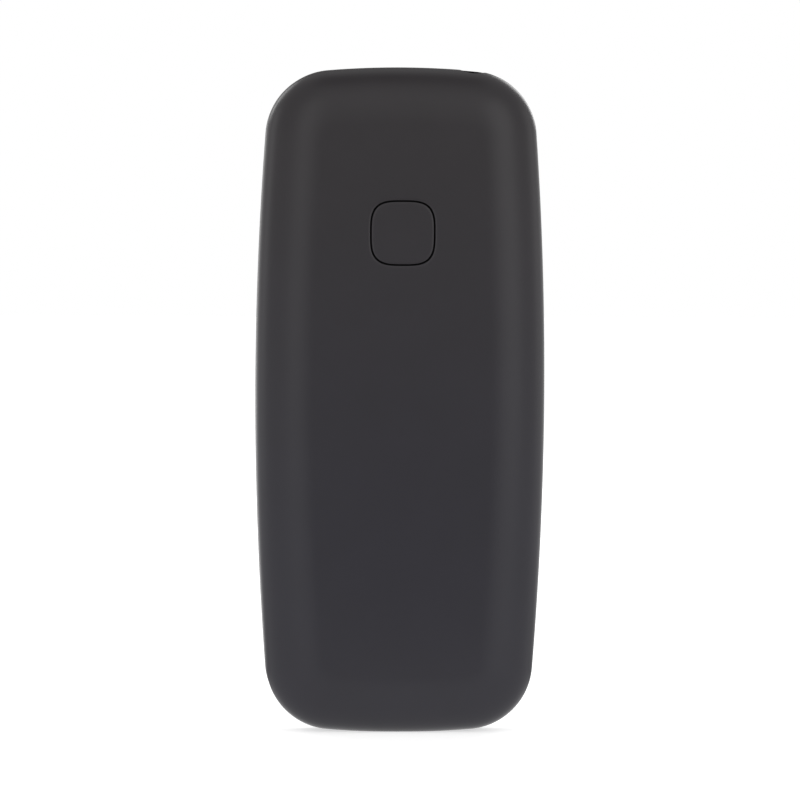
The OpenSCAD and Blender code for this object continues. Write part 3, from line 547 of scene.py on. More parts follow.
def eased(profile, steps=3):             # corners (u, v, radius) of a section, rounded
    points = []
    for i, (u, v, radius) in enumerate(profile):
        here = Vector((u, v))
        if not radius or i in (0, len(profile) - 1):
            points.append((u, v))
            continue
        before = (Vector(profile[i - 1][:2]) - here).normalized()
        after = (Vector(profile[i + 1][:2]) - here).normalized()
        half = before.angle(after) / 2
        centre = here + (before + after).normalized() * radius / math.sin(half)
        first = here + before * radius / math.tan(half) - centre
        last = here + after * radius / math.tan(half) - centre
        swing = first.angle(last)
        for k in range(steps + 1):
            share = k / steps
            spot = centre + (first * math.sin((1 - share) * swing) + last * math.sin(share * swing)) / math.sin(swing)
            points.append((spot.x, spot.y))
    return points


def quarterTurns(steps):                 # sine and cosine from 0 to 90 degrees
    return [(math.sin(quarterTurn * i / steps), math.cos(quarterTurn * i / steps)) for i in range(steps + 1)]


def rounding(radius, steps):             # in and down along a rounded edge, from its face to its side
    return [(radius * (1 - sine), radius * (1 - cosine)) for sine, cosine in quarterTurns(steps)]


footTool = {"half": 40, "deep": 5, "reach": 20}


def footPiece(finishName):               # cuts the standing flat
    half, deep, reach = footTool["half"], footTool["deep"], footTool["reach"]
    foot = Solid()
    foot.prism([(-half, -deep), (half, -deep), (half, 0), (-half, 0)], -reach, reach)
    return solidPiece("footTool", foot, finishName)


# back cover: wide elliptical shoulders, a flat middle, an opening for the rear key
coverSizes = {
    "wall": 1.1, "shoulderWide": 10.0, "shoulderDeep": 5.05, "shoulderSteps": 30, "insideSteps": 14,
    "rimY": -3.28, "rimEase": 0.12, "seamBevel": 0.35, "seamEase": 0.07,
    "keyOpening": 5.68, "keyPower": 3.4, "keyBevel": 0.12,
    "keyRoll": ((0.60, 0), (0.32, 0), (0.10, 0.018), (0.045, 0.042), (0.012, 0.080), (0, 0.130)),    # in, down
    "jackHole": 2.35, "jackMouth": 2.72, "jackMouthDrop": (1.7, 1.0), "jackEnds": (3, -2), "jackSides": 48,
    "portRoom": 0.3, "portCorner": 0.5, "portSteps": (6, 1),
    "portFlare": ((-2, 0.2), (0.0, 0.2), (0.25, 0.06), (0.5, 0.0), (2.1, 0.0)),      # height, how far it widens
    "catchRadius": 0.3, "catchLong": 9.0, "catchAt": (-3.34, 0.35), "catchSides": 20,
    "catchTaper": ((0, 0.55), (0.12, 0.9), (0.3, 1)),        # from each end: in, share of the radius
    "clipReach": 0.4, "clipThick": 0.8, "clipLong": 6.0, "clipRoot": 0.25, "clipEase": 0.1, "clipSlope": 0.3,
    "clipBelow": 0.25,       # lowest clips, under the battery's end
}
keyZ = nodeMiddle("assist_key")[2]


def keyRing(half, y, turns):             # rounded square of the rear key, along these directions
    power, points = coverSizes["keyPower"], []
    for t in turns:
        reach = half * (abs(math.cos(t)) ** power + abs(math.sin(t)) ** power) ** (-1 / power)
        points.append((reach * math.cos(t), y, keyZ + reach * math.sin(t)))
    return points


def coverShell():
    s = coverSizes
    bandY, lidY = backY - s["shoulderDeep"], backY - s["wall"]
    turns = [math.atan2(z - keyZ, x) for x, y, z in bodyRing(0, 0)]
    rings = [keyRing(s["keyOpening"] + s["keyBevel"], lidY, turns)]
    for sine, cosine in quarterTurns(s["insideSteps"])[::-1]:            # inside, from the lid to the rim
        rings.append(bodyRing(s["wall"] + (s["shoulderWide"] - s["wall"]) * (1 - cosine),
                              bandY + (s["shoulderDeep"] - s["wall"]) * sine))
    rim = [(s["wall"], bandY, 0), (s["wall"], s["rimY"], s["rimEase"]), (s["seamBevel"], s["rimY"], s["seamEase"]),
           (0, s["rimY"] + s["seamBevel"], s["seamEase"]), (0, bandY, 0)]
    rings += [bodyRing(inset, y) for inset, y in eased(rim)[1:-1]]
    for sine, cosine in quarterTurns(s["shoulderSteps"]):                # outside, from the band to the back
        rings.append(bodyRing(s["shoulderWide"] * (1 - cosine), bandY + s["shoulderDeep"] * sine))
    for back, drop in s["keyRoll"]:                                      # rolled edge of the key's opening
        rings.append(keyRing(s["keyOpening"] + back, backY - drop, turns))
    rings.append(keyRing(s["keyOpening"], lidY + s["keyBevel"], turns))
    solid = Solid()
    rings = [solid.ring(ring) for ring in rings]
    solid.bands(rings[:-1])
    solid.bands([rings[-2], rings[-1], rings[0]], mark=1)                # wall of the opening, near-black as painted shade
    return solidPiece("backCover", solid, "softTouchBlack", "holeBlack")


def jackPiece():                         # cuts the headset hole with its wider mouth; its wall takes near-black painted shade
    s = coverSizes
    jack, hole = nodeMiddle("audio_jack"), Solid()
    drops = (s["jackEnds"][0], *s["jackMouthDrop"], s["jackEnds"][1])
    radii = (s["jackHole"], s["jackHole"], s["jackMouth"], s["jackMouth"])
    hole.capped([hole.ring([(jack[0] + x, jack[1] + y, tall - drop) for x, y in circlePlan(radius, s["jackSides"])])
                 for drop, radius in zip(drops, radii)])
    return solidPiece("jackTool", hole, "holeBlack")


def portPiece():                         # cuts the flared charging slot
    s = coverSizes
    wide, thick = nodeSpan("usb_port")[:2]
    midY = nodeMiddle("usb_port")[1]
    plan = roundedRect(wide + 2 * s["portRoom"], thick + 2 * s["portRoom"], s["portCorner"], *s["portSteps"])
    slot = Solid()
    slot.capped([slot.ring([(x * (1 + 2 * grow / wide), midY + y * (1 + 2 * grow / thick), z) for x, y in plan])
                 for z, grow in s["portFlare"]])
    return solidPiece("portTool", slot, "softTouchBlack")


def coverFittings():                     # catch bead and clip noses inside the cover
    s = coverSizes
    solid = Solid()
    catchY, catchZ = s["catchAt"]
    half, radius = s["catchLong"] / 2, s["catchRadius"]
    stations = [(-half + back, share) for back, share in s["catchTaper"]]
    stations += [(half - back, share) for back, share in s["catchTaper"][::-1]]
    solid.capped([solid.ring([(x, catchY + radius * share * a, catchZ + radius * share * b)
                              for a, b in circlePlan(1, s["catchSides"])]) for x, share in stations])
    root, reach, ease, y0 = s["clipRoot"], s["clipReach"], s["clipEase"], s["rimY"] + s["clipThick"]
    nose = [(root, y0 - ease), (0, y0), (-reach + ease, y0), (-reach, y0 + ease),
            (-reach, y0 + s["clipThick"] - s["clipSlope"]), (-ease, y0 + s["clipThick"]), (root, y0 + s["clipThick"])]
    arc = bodyPlan["sideArc"]
    for side in (-1, 1):
        for z in (nodeBox("battery")[0][2] - s["clipBelow"], widestZ, keyZ):
            wallX = halfWide - arc + math.sqrt(arc ** 2 - (z - widestZ) ** 2) - s["wall"]
            solid.capped([solid.ring([(side * (wallX + x), y, z + end * s["clipLong"] / 2) for x, y in nose])
                          for end in (-1, 1)])
    return solidPiece("coverFittings", solid, "softTouchBlack")


cover = coverShell()
carve(cover, jackPiece(), portPiece(), footPiece("softTouchBlack"))
place(cover, "back_cover", "back_cover", sharp=40)
place(coverFittings(), "back_cover", slot="cover_plastic")
print("back cover made")

# rear key: a flush rounded square with an eased edge, its flange and stem
rearKeySizes = {"half": 5.42, "middle": 0.5, "flangeHalf": 6.2, "flangeTop": 5.25, "flangeThick": 0.7,
                "flangeEase": 0.08, "stem": 1.5, "stemFoot": 0.3, "stemFillet": 0.25, "stemEase": 0.15,
                "tip": 0.4, "steps": 144}


def makeRearKey():
    s = rearKeySizes
    low, high = nodeBox("assist_key")
    turns = [fullTurn * i / s["steps"] for i in range(s["steps"])]
    foot, under = s["stem"] + s["stemFoot"], s["flangeTop"] - s["flangeThick"]
    solid = Solid()
    section = [(s["middle"], high[1])]
    section += [(s["half"] - back, high[1] - drop) for back, drop in coverSizes["keyRoll"]]
    section += eased([(s["half"], s["flangeTop"], 0), (s["flangeHalf"], s["flangeTop"], s["flangeEase"]),
                      (s["flangeHalf"], under, s["flangeEase"]), (foot, under, 0)])
    rings = [solid.ring(keyRing(half, y, turns)) for half, y in section]
    for radius, y in eased([(foot, under, 0), (s["stem"], under, s["stemFillet"]),
                            (s["stem"], low[1], s["stemEase"]), (s["tip"], low[1], 0)])[1:]:
        rings.append(solid.ring([(radius * math.cos(t), y, keyZ + radius * math.sin(t)) for t in turns]))
    top = len(coverSizes["keyRoll"])
    solid.bands(rings[:top + 1])
    solid.bands(rings[top:top + 3], mark=1)          # side and flange in the gap, near-black as painted shade
    solid.bands(rings[top + 2:])
    solid.face(rings[0])
    solid.face(rings[-1])
    place(solidPiece("rearKey", solid, "softTouchBlack", "holeBlack"), "assist_key", "assist_key")


makeRearKey()
print("rear key made")

# front housing: eased edge, recess for the window, openings for the keys, the earpiece and the microphone
housingSizes = {
    "edge": 2.0, "edgeSteps": 10, "wall": 1.4, "depth": 2.9, "rim": 2.6, "rimEase": 0.1, "innerBevel": 0.6,
    "seamBevel": 0.35, "seamEase": 0.07, "holeEase": 0.14, "keyRoom": 0.2, "keyCorner": 1.8, "lip": 0.4,
    "ringWide": 16.5, "ringHigh": 14.4, "ringCorner": 5.0, "ringRoom": 0.3,
    "windowRoom": 0.12, "windowCorner": 3.0, "ledgeY": -5.4, "viewFrame": 1.2, "viewCorner": 1.8,
    "slotWide": 9.0, "slotHigh": 1.2, "slotFlat": 0.05, "micHole": 0.45, "grooveRadius": 0.4, "grooveRoom": 0.3,
    "keySteps": (8, 10), "ringSteps": (14, 8), "slotSteps": (8, 2), "windowSteps": (12, 2),      # corner, side
    "viewSteps": (10, 2), "holeSteps": 4, "micSides": 24, "grooveSides": 24,
}
faceY = nodeBox("front_housing")[0][1]
inY = faceY + housingSizes["wall"]
numberKeys = ["key_1", "key_2", "key_3", "key_4", "key_5", "key_6", "key_7", "key_8", "key_9",
              "key_star", "key_0", "key_hash"]
sideKeys = ["soft_key_left", "soft_key_right", "call_key", "end_key"]
ringPlan = insetRect(housingSizes["ringWide"], housingSizes["ringHigh"], housingSizes["ringCorner"],
                     *housingSizes["ringSteps"])


def keySpot(node):
    middle = nodeMiddle(node)
    return middle[0], middle[2]


def keyPlan(node):                       # outline of a key's cap, inside its flange
    wide, long = nodeSpan(node)[::2]
    lip = housingSizes["lip"]
    return insetRect(wide - 2 * lip, long - 2 * lip, housingSizes["keyCorner"], *housingSizes["keySteps"])


def viewPlan():                          # outline of what shows of the display
    wide, long = nodeSpan("display_module")[::2]
    edge = 2 * housingSizes["viewFrame"]
    plan = roundedRect(wide - edge, long - edge, housingSizes["viewCorner"], *housingSizes["viewSteps"])
    return moved(plan, keySpot("display_module"))


def housingHoles():                      # plan, room round it, centre and depth of each opening
    s = housingSizes
    wide, long = nodeSpan("display_window")[::2]
    room = s["windowRoom"]
    holes = [(keyPlan(node), s["keyRoom"], keySpot(node), inY) for node in numberKeys + sideKeys]
    return holes + [
        (ringPlan, s["ringRoom"], keySpot("nav_ring"), inY),
        (insetRect(s["slotWide"], s["slotHigh"], s["slotHigh"] / 2 - s["slotFlat"], *s["slotSteps"]), 0,
         (0, keySpot("earpiece_mesh")[1]), inY),
        (lambda inset: circlePlan(s["micHole"] - inset, s["micSides"]), 0, keySpot("microphone"), inY),
        (insetRect(wide + 2 * room, long + 2 * room, s["windowCorner"] + room, *s["windowSteps"]), 0,
         keySpot("display_window"), s["ledgeY"])]


def makeFrontHousing():
    s = housingSizes
    partY = faceY + s["depth"]
    solid = Solid()
    section = [(inset, faceY + down) for inset, down in rounding(s["edge"], s["edgeSteps"])]
    section += eased([section[-1] + (0,), (0, partY - s["seamBevel"], s["seamEase"]),
                      (s["seamBevel"], partY, s["seamEase"]), (s["rim"], partY, s["rimEase"]),
                      (s["rim"], inY + s["innerBevel"], 0), (s["rim"] + s["innerBevel"], inY, 0)])[1:]
    outer = [solid.ring(bodyRing(inset, y)) for inset, y in section]
    solid.bands(outer)
    front, back = [], []
    for plan, room, centre, deepY in housingHoles():
        rings = [solid.ring(atLevel(moved(plan(-grow - room), centre), faceY + down))
                 for grow, down in rounding(s["holeEase"], s["holeSteps"])]
        rings.append(solid.ring(atLevel(moved(plan(-room), centre), deepY)))
        solid.bands(rings)
        front.append(rings[0])
        back.append(rings[-1])
    rings = [solid.ring(atLevel(viewPlan(), y)) for y in (s["ledgeY"], inY)]
    solid.bands(rings)
    solid.flat([back.pop(), rings[0]])           # ledge that the window sits on
    back.append(rings[1])
    solid.flat([outer[0]] + front)
    solid.flat([outer[-1]] + back)
    housing = solidPiece("frontHousing", solid, "shellBlack")

    groove = Solid()                     # room for the cover's catch bead
    catchY, catchZ = coverSizes["catchAt"]
    half = coverSizes["catchLong"] / 2 + s["grooveRoom"]
    circle = circlePlan(s["grooveRadius"], s["grooveSides"])
    groove.capped([groove.ring([(x, catchY + a, catchZ + b) for a, b in circle]) for x in (-half, half)])
    carve(housing, footPiece("shellBlack"), solidPiece("grooveTool", groove, "shellBlack"))
    place(housing, "phone", "front_housing", sharp=40)


makeFrontHousing()
print("front housing made")

# keys: crowned caps with eased edges, a flange behind the wall, a plunger, and printed marks
keySizes = {
    "ease": 0.34, "easeSteps": 6, "crown": 0.13, "crownShares": (0.55, 0.45),
    "capSteps": (0.15, 0.35, 0.55, 0.75, 0.9, 1.0),
    "flangeY": -4.7, "flangeThick": 0.45, "plunger": 1.1, "plungerBevel": 0.1,
    "printLift": 0.012, "printDeep": 0.05, "letterGap": 1.08,
    "digit": 4.4, "digitX": -2.3, "letters": 1.95, "lettersX": 2.2, "plus": 1.3, "sign": 4.6, "starDrop": 0.9,
    "barWide": 3.4, "barHigh": 0.62, "barFlat": 0.02, "barSteps": (6, 2), "callTurn": 135,
    "one": ((0.10, -0.35), (0.10, 0.35), (0.02, 0.35), (-0.17, 0.22), (-0.17, 0.13), (0.00, 0.22), (0.00, -0.35)),
}
handset = {"size": 0.85, "lift": 0.25, "archRadius": 3.3, "underRadius": 2.75, "archStep": 0.2, "underStep": 0.23,
           "pad": [(2.32, -0.42), (2.34, -0.52), (2.28, -0.62), (1.80, -1.06), (1.68, -1.10), (1.56, -1.07),
                   (1.06, -0.80), (0.96, -0.70), (0.92, -0.58)]}
keyMarks = {"key_1": ("1", "oo"), "key_2": ("2", "abc"), "key_3": ("3", "def"), "key_4": ("4", "ghi"),
            "key_5": ("5", "jkl"), "key_6": ("6", "mno"), "key_7": ("7", "pqrs"), "key_8": ("8", "tuv"),
            "key_9": ("9", "wxyz"), "key_star": ("*", ""), "key_0": ("0", "+"), "key_hash": ("#", "")}


def crownOf(node):                       # level of a cap's top over its plan, deeper towards the edge
    deep, (shareX, shareZ) = keySizes["crown"], keySizes["crownShares"]
    top, (midX, midZ), (wide, long) = nodeBox(node)[0][1], keySpot(node), nodeSpan(node)[::2]
    return lambda x, z: top + deep * (shareX * ((x - midX) / (wide / 2)) ** 2
                                      + shareZ * ((z - midZ) / (long / 2)) ** 2)


def capSolid(node, plan, level, lip):
    s = keySizes
    (midX, midZ), endY = keySpot(node), nodeBox(node)[1][1]
    solid, rings = Solid(), []
    tip = solid.ring([(midX, level(midX, midZ), midZ)])[0]
    for share in s["capSteps"]:
        spots = [(midX + x * share, midZ + z * share) for x, z in plan(s["ease"])]
        rings.append(solid.ring([(x, level(x, z), z) for x, z in spots]))
    for inset, down in rounding(s["ease"], s["easeSteps"])[1:]:
        rings.append(solid.ring([(x, level(x, z) + down, z) for x, z in moved(plan(inset), (midX, midZ))]))
    foot = [(0, s["flangeY"])]
    if lip:
        foot += [(-lip, s["flangeY"]), (-lip, s["flangeY"] + s["flangeThick"])]
    for inset, y in foot:
        rings.append(solid.ring(atLevel(moved(plan(inset), (midX, midZ)), y)))
    turns = [math.atan2(z, x) for x, z in plan(0)]
    radius, bevel = s["plunger"], s["plungerBevel"]
    for reach, y in ((radius, foot[-1][1]), (radius, endY - bevel), (radius - bevel, endY)):
        rings.append(solid.ring([(midX + reach * math.cos(t), y, midZ + reach * math.sin(t)) for t in turns]))
    solid.fan(tip, rings[0])
    solid.bands(rings)
    solid.face(rings[-1])
    return solid


def printWord(solid, text, size, spot, level):       # lettering that follows the key's crown
    curve = bpy.data.curves.new("legendText", "FONT")
    curve.body, curve.size, curve.extrude, curve.resolution_u = text, size, 0.5, 5
    curve.align_x, curve.align_y, curve.space_character = "CENTER", "CENTER", keySizes["letterGap"]
    holder = bpy.data.objects.new("legendText", curve)
    collection.objects.link(holder)
    mesh = plainMesh(holder)
    first = len(solid.points)
    for u, v, w in (tuple(vertex.co) for vertex in mesh.vertices):
        x, z = spot[0] + u, spot[1] + v
        solid.points.append((x, level(x, z) + (keySizes["printDeep"] if w < 0 else -keySizes["printLift"]), z))
    for polygon in mesh.polygons:
        solid.face([first + i for i in polygon.vertices], 1)
    bpy.data.objects.remove(holder)
    bpy.data.curves.remove(curve)
    bpy.data.meshes.remove(mesh)


def printShape(solid, plan, spot, level):
    solid.prism(moved(plan, spot), -keySizes["printLift"], keySizes["printDeep"], 1, level)


def handsetPlan(turn):                   # a receiver: a shallow arc with a pad at each end
    h = handset

    def bow(radius, step, counts):
        return [(step * i, math.sqrt(radius ** 2 - (step * i) ** 2) - h["underRadius"]) for i in counts]

    half = (bow(h["archRadius"], h["archStep"], range(12)) + h["pad"]
            + bow(h["underRadius"], h["underStep"], (4, 3, 2, 1, 0)))
    plan = half + [(-x, z) for x, z in half[-2:0:-1]]
    return turned([(x * h["size"], (z + h["lift"]) * h["size"]) for x, z in plan], turn)


def makeKey(node):
    s = keySizes
    level = crownOf(node)
    solid = capSolid(node, keyPlan(node), level, housingSizes["lip"])
    x, z = keySpot(node)
    ink = "legendWhite"
    sign, word = keyMarks.get(node, ("", ""))
    if sign == "1":
        printShape(solid, [(a * s["digit"], b * s["digit"]) for a, b in s["one"]], (x + s["digitX"], z), level)
    elif word:
        printWord(solid, sign, s["digit"], (x + s["digitX"], z), level)
    elif sign:
        printWord(solid, sign, s["sign"], (x, z - (s["starDrop"] if sign == "*" else 0)), level)
    elif node.startswith("soft"):
        bar = roundedRect(s["barWide"], s["barHigh"], s["barHigh"] / 2 - s["barFlat"], *s["barSteps"])
        printShape(solid, bar, (x, z), level)
    else:
        answer = node == "call_key"
        printShape(solid, handsetPlan(math.radians(s["callTurn"]) if answer else 0), (x, z), level)
        ink = "legendGreen" if answer else "legendRed"
    if word:
        printWord(solid, word, s["letters"] * (s["plus"] if word == "+" else 1), (x + s["lettersX"], z), level)
    first, *others = node.split("_")
    place(solidPiece(first + "".join(w.capitalize() for w in others), solid, "keyBlack", ink), node, node)


for node in numberKeys + sideKeys:
    makeKey(node)
print("keys made")

# middle key: dished; ring round it: satin, crowned, with four marks
navSizes = {
    "okWide": 8.0, "okHigh": 6.6, "okFlat": 0.8, "okDish": 0.22, "okDishPower": 1.5, "room": 0.3,
    "ringCrown": 0.12, "ringEase": 0.3, "easeSteps": 5, "topSteps": 8, "flangeThick": 0.35, "lip": 0.4,
    "markSize": 0.62, "markLift": 0.01, "markDeep": 0.08, "markOut": 0.1,
}
okPlan = insetRect(navSizes["okWide"], navSizes["okHigh"], (navSizes["okHigh"] - navSizes["okFlat"]) / 2,
                   *housingSizes["ringSteps"])       # as many points as the ring round it
# middle of the ring's band, across and up
ringReach = [(housingSizes["ring" + side] + navSizes["ok" + side]) / 4 for side in ("Wide", "High")]


def makeOkKey():
    top, (midX, midZ), (wide, long) = nodeBox("ok_key")[0][1], keySpot("ok_key"), nodeSpan("ok_key")[::2]

    def level(x, z):
        out = min(1.0, ((x - midX) / (wide / 2)) ** 2 + ((z - midZ) / (long / 2)) ** 2)
        return top + navSizes["okDish"] * (1 - out) ** navSizes["okDishPower"]

    place(solidPiece("okKey", capSolid("ok_key", okPlan, level, 0), "okSatin"), "ok_key", "ok_key")


def makeNavRing():
    s = navSizes
    low, high = nodeBox("nav_ring")
    spot, size = keySpot("nav_ring"), s["markSize"]
    flangeY = high[1] - s["flangeThick"]
    solid, rings = Solid(), []

    def add(plan, y):
        rings.append(solid.ring(atLevel(moved(plan, spot), y)))

    def topLevel(share):
        return low[1] + s["ringCrown"] * (2 * share - 1) ** 2

    edge = rounding(s["ringEase"], s["easeSteps"])
    outer, inner = ringPlan(s["ringEase"]), okPlan(-s["room"] - s["ringEase"])
    for i in range(s["topSteps"] + 1):               # top, from the outer edge to the inner one
        share = i / s["topSteps"]
        add([(a + (c - a) * share, b + (d - b) * share) for (a, b), (c, d) in zip(outer, inner)], topLevel(share))
    for inset, down in edge[1:]:
        add(okPlan(-s["room"] - inset), topLevel(1) + down)
    add(okPlan(-s["room"]), high[1])
    add(ringPlan(-s["lip"]), high[1])
    add(ringPlan(-s["lip"]), flangeY)
    add(ringPlan(0), flangeY)
    for inset, down in edge[:0:-1]:
        add(ringPlan(inset), topLevel(0) + down)
    solid.bands(rings, closed=True)
    reachX, reachZ = (reach + s["markOut"] for reach in ringReach)
    arrow = [(size, 0), (-0.5 * size, size), (-0.5 * size, -size)]
    for turn in (quarterTurn * i for i in range(4)):             # small arrow marks
        centre = (spot[0] + reachX * math.cos(turn), spot[1] + reachZ * math.sin(turn))
        solid.prism(moved(turned(arrow, turn), centre), low[1] - s["markLift"], low[1] + s["markDeep"], 1)
    place(solidPiece("navRing", solid, "ringSilver", "borderBlack"), "nav_ring", "nav_ring")


makeOkKey()
makeNavRing()
print("middle key and ring made")

# display: clear window with a dark printed border, and the panel behind it
screenSizes = {"ease": 0.16, "backEase": 0.06, "rim": 0.6, "corner": 3.0, "steps": (12, 2),
               "printGap": 0.012, "printThick": 0.02, "printIn": 0.3,
               "panelThick": 0.12, "panelIn": 0.9, "panelCorner": 0.6, "panelRim": 0.5, "panelEase": 0.05,
               "panelPart": 20, "panelSteps": (5, 2)}


def makeScreen():
    s = screenSizes
    low, high = nodeBox("display_window")
    wide, long = nodeSpan("display_window")[::2]
    plan, spot = insetRect(wide, long, s["corner"], *s["steps"]), keySpot("display_window")
    solid, rim = Solid(), s["rim"]
    section = eased([(rim, low[1], 0), (0, low[1], s["ease"]), (0, high[1], s["backEase"]),
                     (rim, high[1], 0)], steps=4)
    solid.capped([solid.ring(atLevel(moved(plan(inset), spot), y)) for inset, y in section])
    place(solidPiece("displayWindow", solid, "windowClear"), "phone", "display_window")

    border, loops = Solid(), []
    for y in (high[1] + s["printGap"], high[1] + s["printGap"] + s["printThick"]):
        loops.append([border.ring(atLevel(outline, y)) for outline in (moved(plan(s["printIn"]), spot), viewPlan())])
        border.flat(loops[-1])
    for pair in zip(*loops):
        border.bands(list(pair))
    place(solidPiece("windowBorder", border, "borderBlack"), "phone", slot="display_dark")

    panel, moduleY = Solid(), nodeBox("display_module")[0][1]
    wide, long = nodeSpan("display_module")[::2]
    plate = roundedRect(wide - 2 * s["panelIn"], long - 2 * s["panelIn"], s["panelCorner"], *s["panelSteps"])
    topY = moduleY - s["panelThick"]
    rings = []
    for inset, y in eased([(s["panelRim"], topY, 0), (0, topY, s["panelEase"]), (0, moduleY, 0)], steps=2):
        share = 1 - inset / s["panelPart"]
        smaller = [(x * share, z * share) for x, z in plate]
        rings.append(panel.ring(atLevel(moved(smaller, keySpot("display_module")), y)))
    panel.capped(rings)
    place(solidPiece("displayPanel", panel, "displayPanel"), "phone", slot="display_dark")
    softened("displayModule", "display_module", 0.15, "canTin")


makeScreen()
print("display made")


def growPiece(name, spots, sizes, shape, finishName):    # points dressed by a tree with named sizes, as a plain mesh
    tree = bpy.data.node_groups.new(name + "Tree", "GeometryNodeTree")
    for way in ("OUTPUT", "INPUT"):
        tree.interface.new_socket("Geometry", in_out=way, socket_type="NodeSocketGeometry")
    keys = {}
    for label, value in sizes.items():
        kind = "NodeSocketInt" if isinstance(value, int) else "NodeSocketFloat"
        keys[label] = tree.interface.new_socket(label, in_out="INPUT", socket_type=kind).identifier
    entry, plug = tree.nodes.new("NodeGroupInput"), Plug(tree)
    inputs = {socket.name: Plug(tree, socket) for socket in entry.outputs if socket.name}
    unit = shape(plug, inputs)
    spread = plug.make("GeometryNodeInstanceOnPoints", values={"Points": inputs["Geometry"], "Instance": unit})
    whole = plug.make("GeometryNodeRealizeInstances", values={0: spread})
    dressed = plug.make("GeometryNodeSetMaterial", values={"Geometry": whole, "Material": finishes[finishName]})
    plug.make("NodeGroupOutput", values={0: dressed})
    mesh = bpy.data.meshes.new(name)
    mesh.from_pydata([[c * mm for c in spot] for spot in spots], [], [])
    piece = linkMesh(name, mesh, [])
    growing = piece.modifiers.new("growing", "NODES")
    growing.node_group = tree
    for label, value in sizes.items():
        growing[keys[label]] = value
    settle(piece)
    return piece


def vector(plug, **axes):                # a vector from the axes that are given
    return plug.make("ShaderNodeCombineXYZ", values={"xyz".index(axis): value for axis, value in axes.items()})


def turnedBack(plug, shape, turn=-quarterTurn):      # a part that stands along Z turned to stand along the back
    return plug.make("GeometryNodeTransform", values={"Geometry": shape, "Rotation": (turn, 0, 0)})


def lifted(plug, shape, height):
    return plug.make("GeometryNodeTransform", values={"Geometry": shape, "Translation": vector(plug, z=height)})


def drum(plug, radius, depth, sides, height):
    shape = plug.make("GeometryNodeMeshCylinder", values={
        "Vertices": sides, "Radius": radius, "Depth": depth}, out="Mesh")
    return lifted(plug, shape, height)


def joined(plug, *shapes):
    return plug.make("GeometryNodeJoinGeometry", values={0: list(shapes)})


def lessShape(plug, shape, *tools):
    return plug.make("GeometryNodeMeshBoolean", {"operation": "DIFFERENCE", "solver": "EXACT"},
                     {0: shape, 1: list(tools)})


# six screws with a cross drive, and the posts that they go into
screwSizes = {"Head Radius": 1.3 * mm, "Head Height": 0.7 * mm, "Shank Radius": 0.72 * mm, "Shank Length": 4.95 * mm,
              "Drive Width": 0.3 * mm, "Drive Length": 1.5 * mm, "Drive Depth": 0.4 * mm,
              "Head Sides": 40, "Shank Sides": 24}
postSizes = {"Post Radius": 1.45 * mm, "Bore Radius": 0.75 * mm, "Height": 4.6 * mm, "Bore Lift": 0.35 * mm,
             "Post Sides": 32, "Bore Sides": 24}
screwSpots = [(side * x, z) for side in (-1, 1) for x, z in ((13.0, 5.4), (20.5, 57.95), (20.5, 98.0))]
screwEase = {"width": 0.08, "angle": 50}


def screwShape(plug, inputs):
    height, shank = inputs["Head Height"], inputs["Shank Length"]
    head = drum(plug, inputs["Head Radius"], height, inputs["Head Sides"], height * 0.5)
    arms = []
    for first, second in (("Drive Length", "Drive Width"), ("Drive Width", "Drive Length")):
        size = vector(plug, x=inputs[first], y=inputs[second], z=inputs["Drive Depth"] * 2)
        arms.append(lifted(plug, plug.make("GeometryNodeMeshCube", values={"Size": size}, out="Mesh"), height))
    head = lessShape(plug, head, *arms)
    stem = drum(plug, inputs["Shank Radius"], shank, inputs["Shank Sides"], shank * -0.5)
    return turnedBack(plug, joined(plug, head, stem))


def postShape(plug, inputs):
    height = inputs["Height"]
    post = drum(plug, inputs["Post Radius"], height, inputs["Post Sides"], height * 0.5)
    bore = drum(plug, inputs["Bore Radius"], height, inputs["Bore Sides"], height * 0.5 + inputs["Bore Lift"])
    return turnedBack(plug, lessShape(plug, post, bore))


def makeScrews():
    headY = nodeBox("housing_screws")[1][1] - screwSizes["Head Height"] / mm
    screws = growPiece("housingScrews", [(x, headY, z) for x, z in screwSpots], screwSizes, screwShape, "screwSteel")
    easeEdges(screws, **screwEase)
    place(screws, "phone", "housing_screws")
    footY = nodeBox("front_housing")[1][1] - postSizes["Height"] / mm
    posts = growPiece("screwPosts", [(x, footY, z) for x, z in screwSpots], postSizes, postShape, "shellBlack")
    place(posts, "phone", slot="housing_plastic")


makeScrews()

# woven wire behind the earpiece slot
weaveSizes = {"Width": 10.4 * mm, "Height": 2.6 * mm, "Pitch": 0.26 * mm, "Wire": 0.048 * mm, "Wave": 0.045 * mm,
              "Columns": 41, "Rows": 11, "Row Points": 145, "Column Points": 37, "Wire Sides": 6}


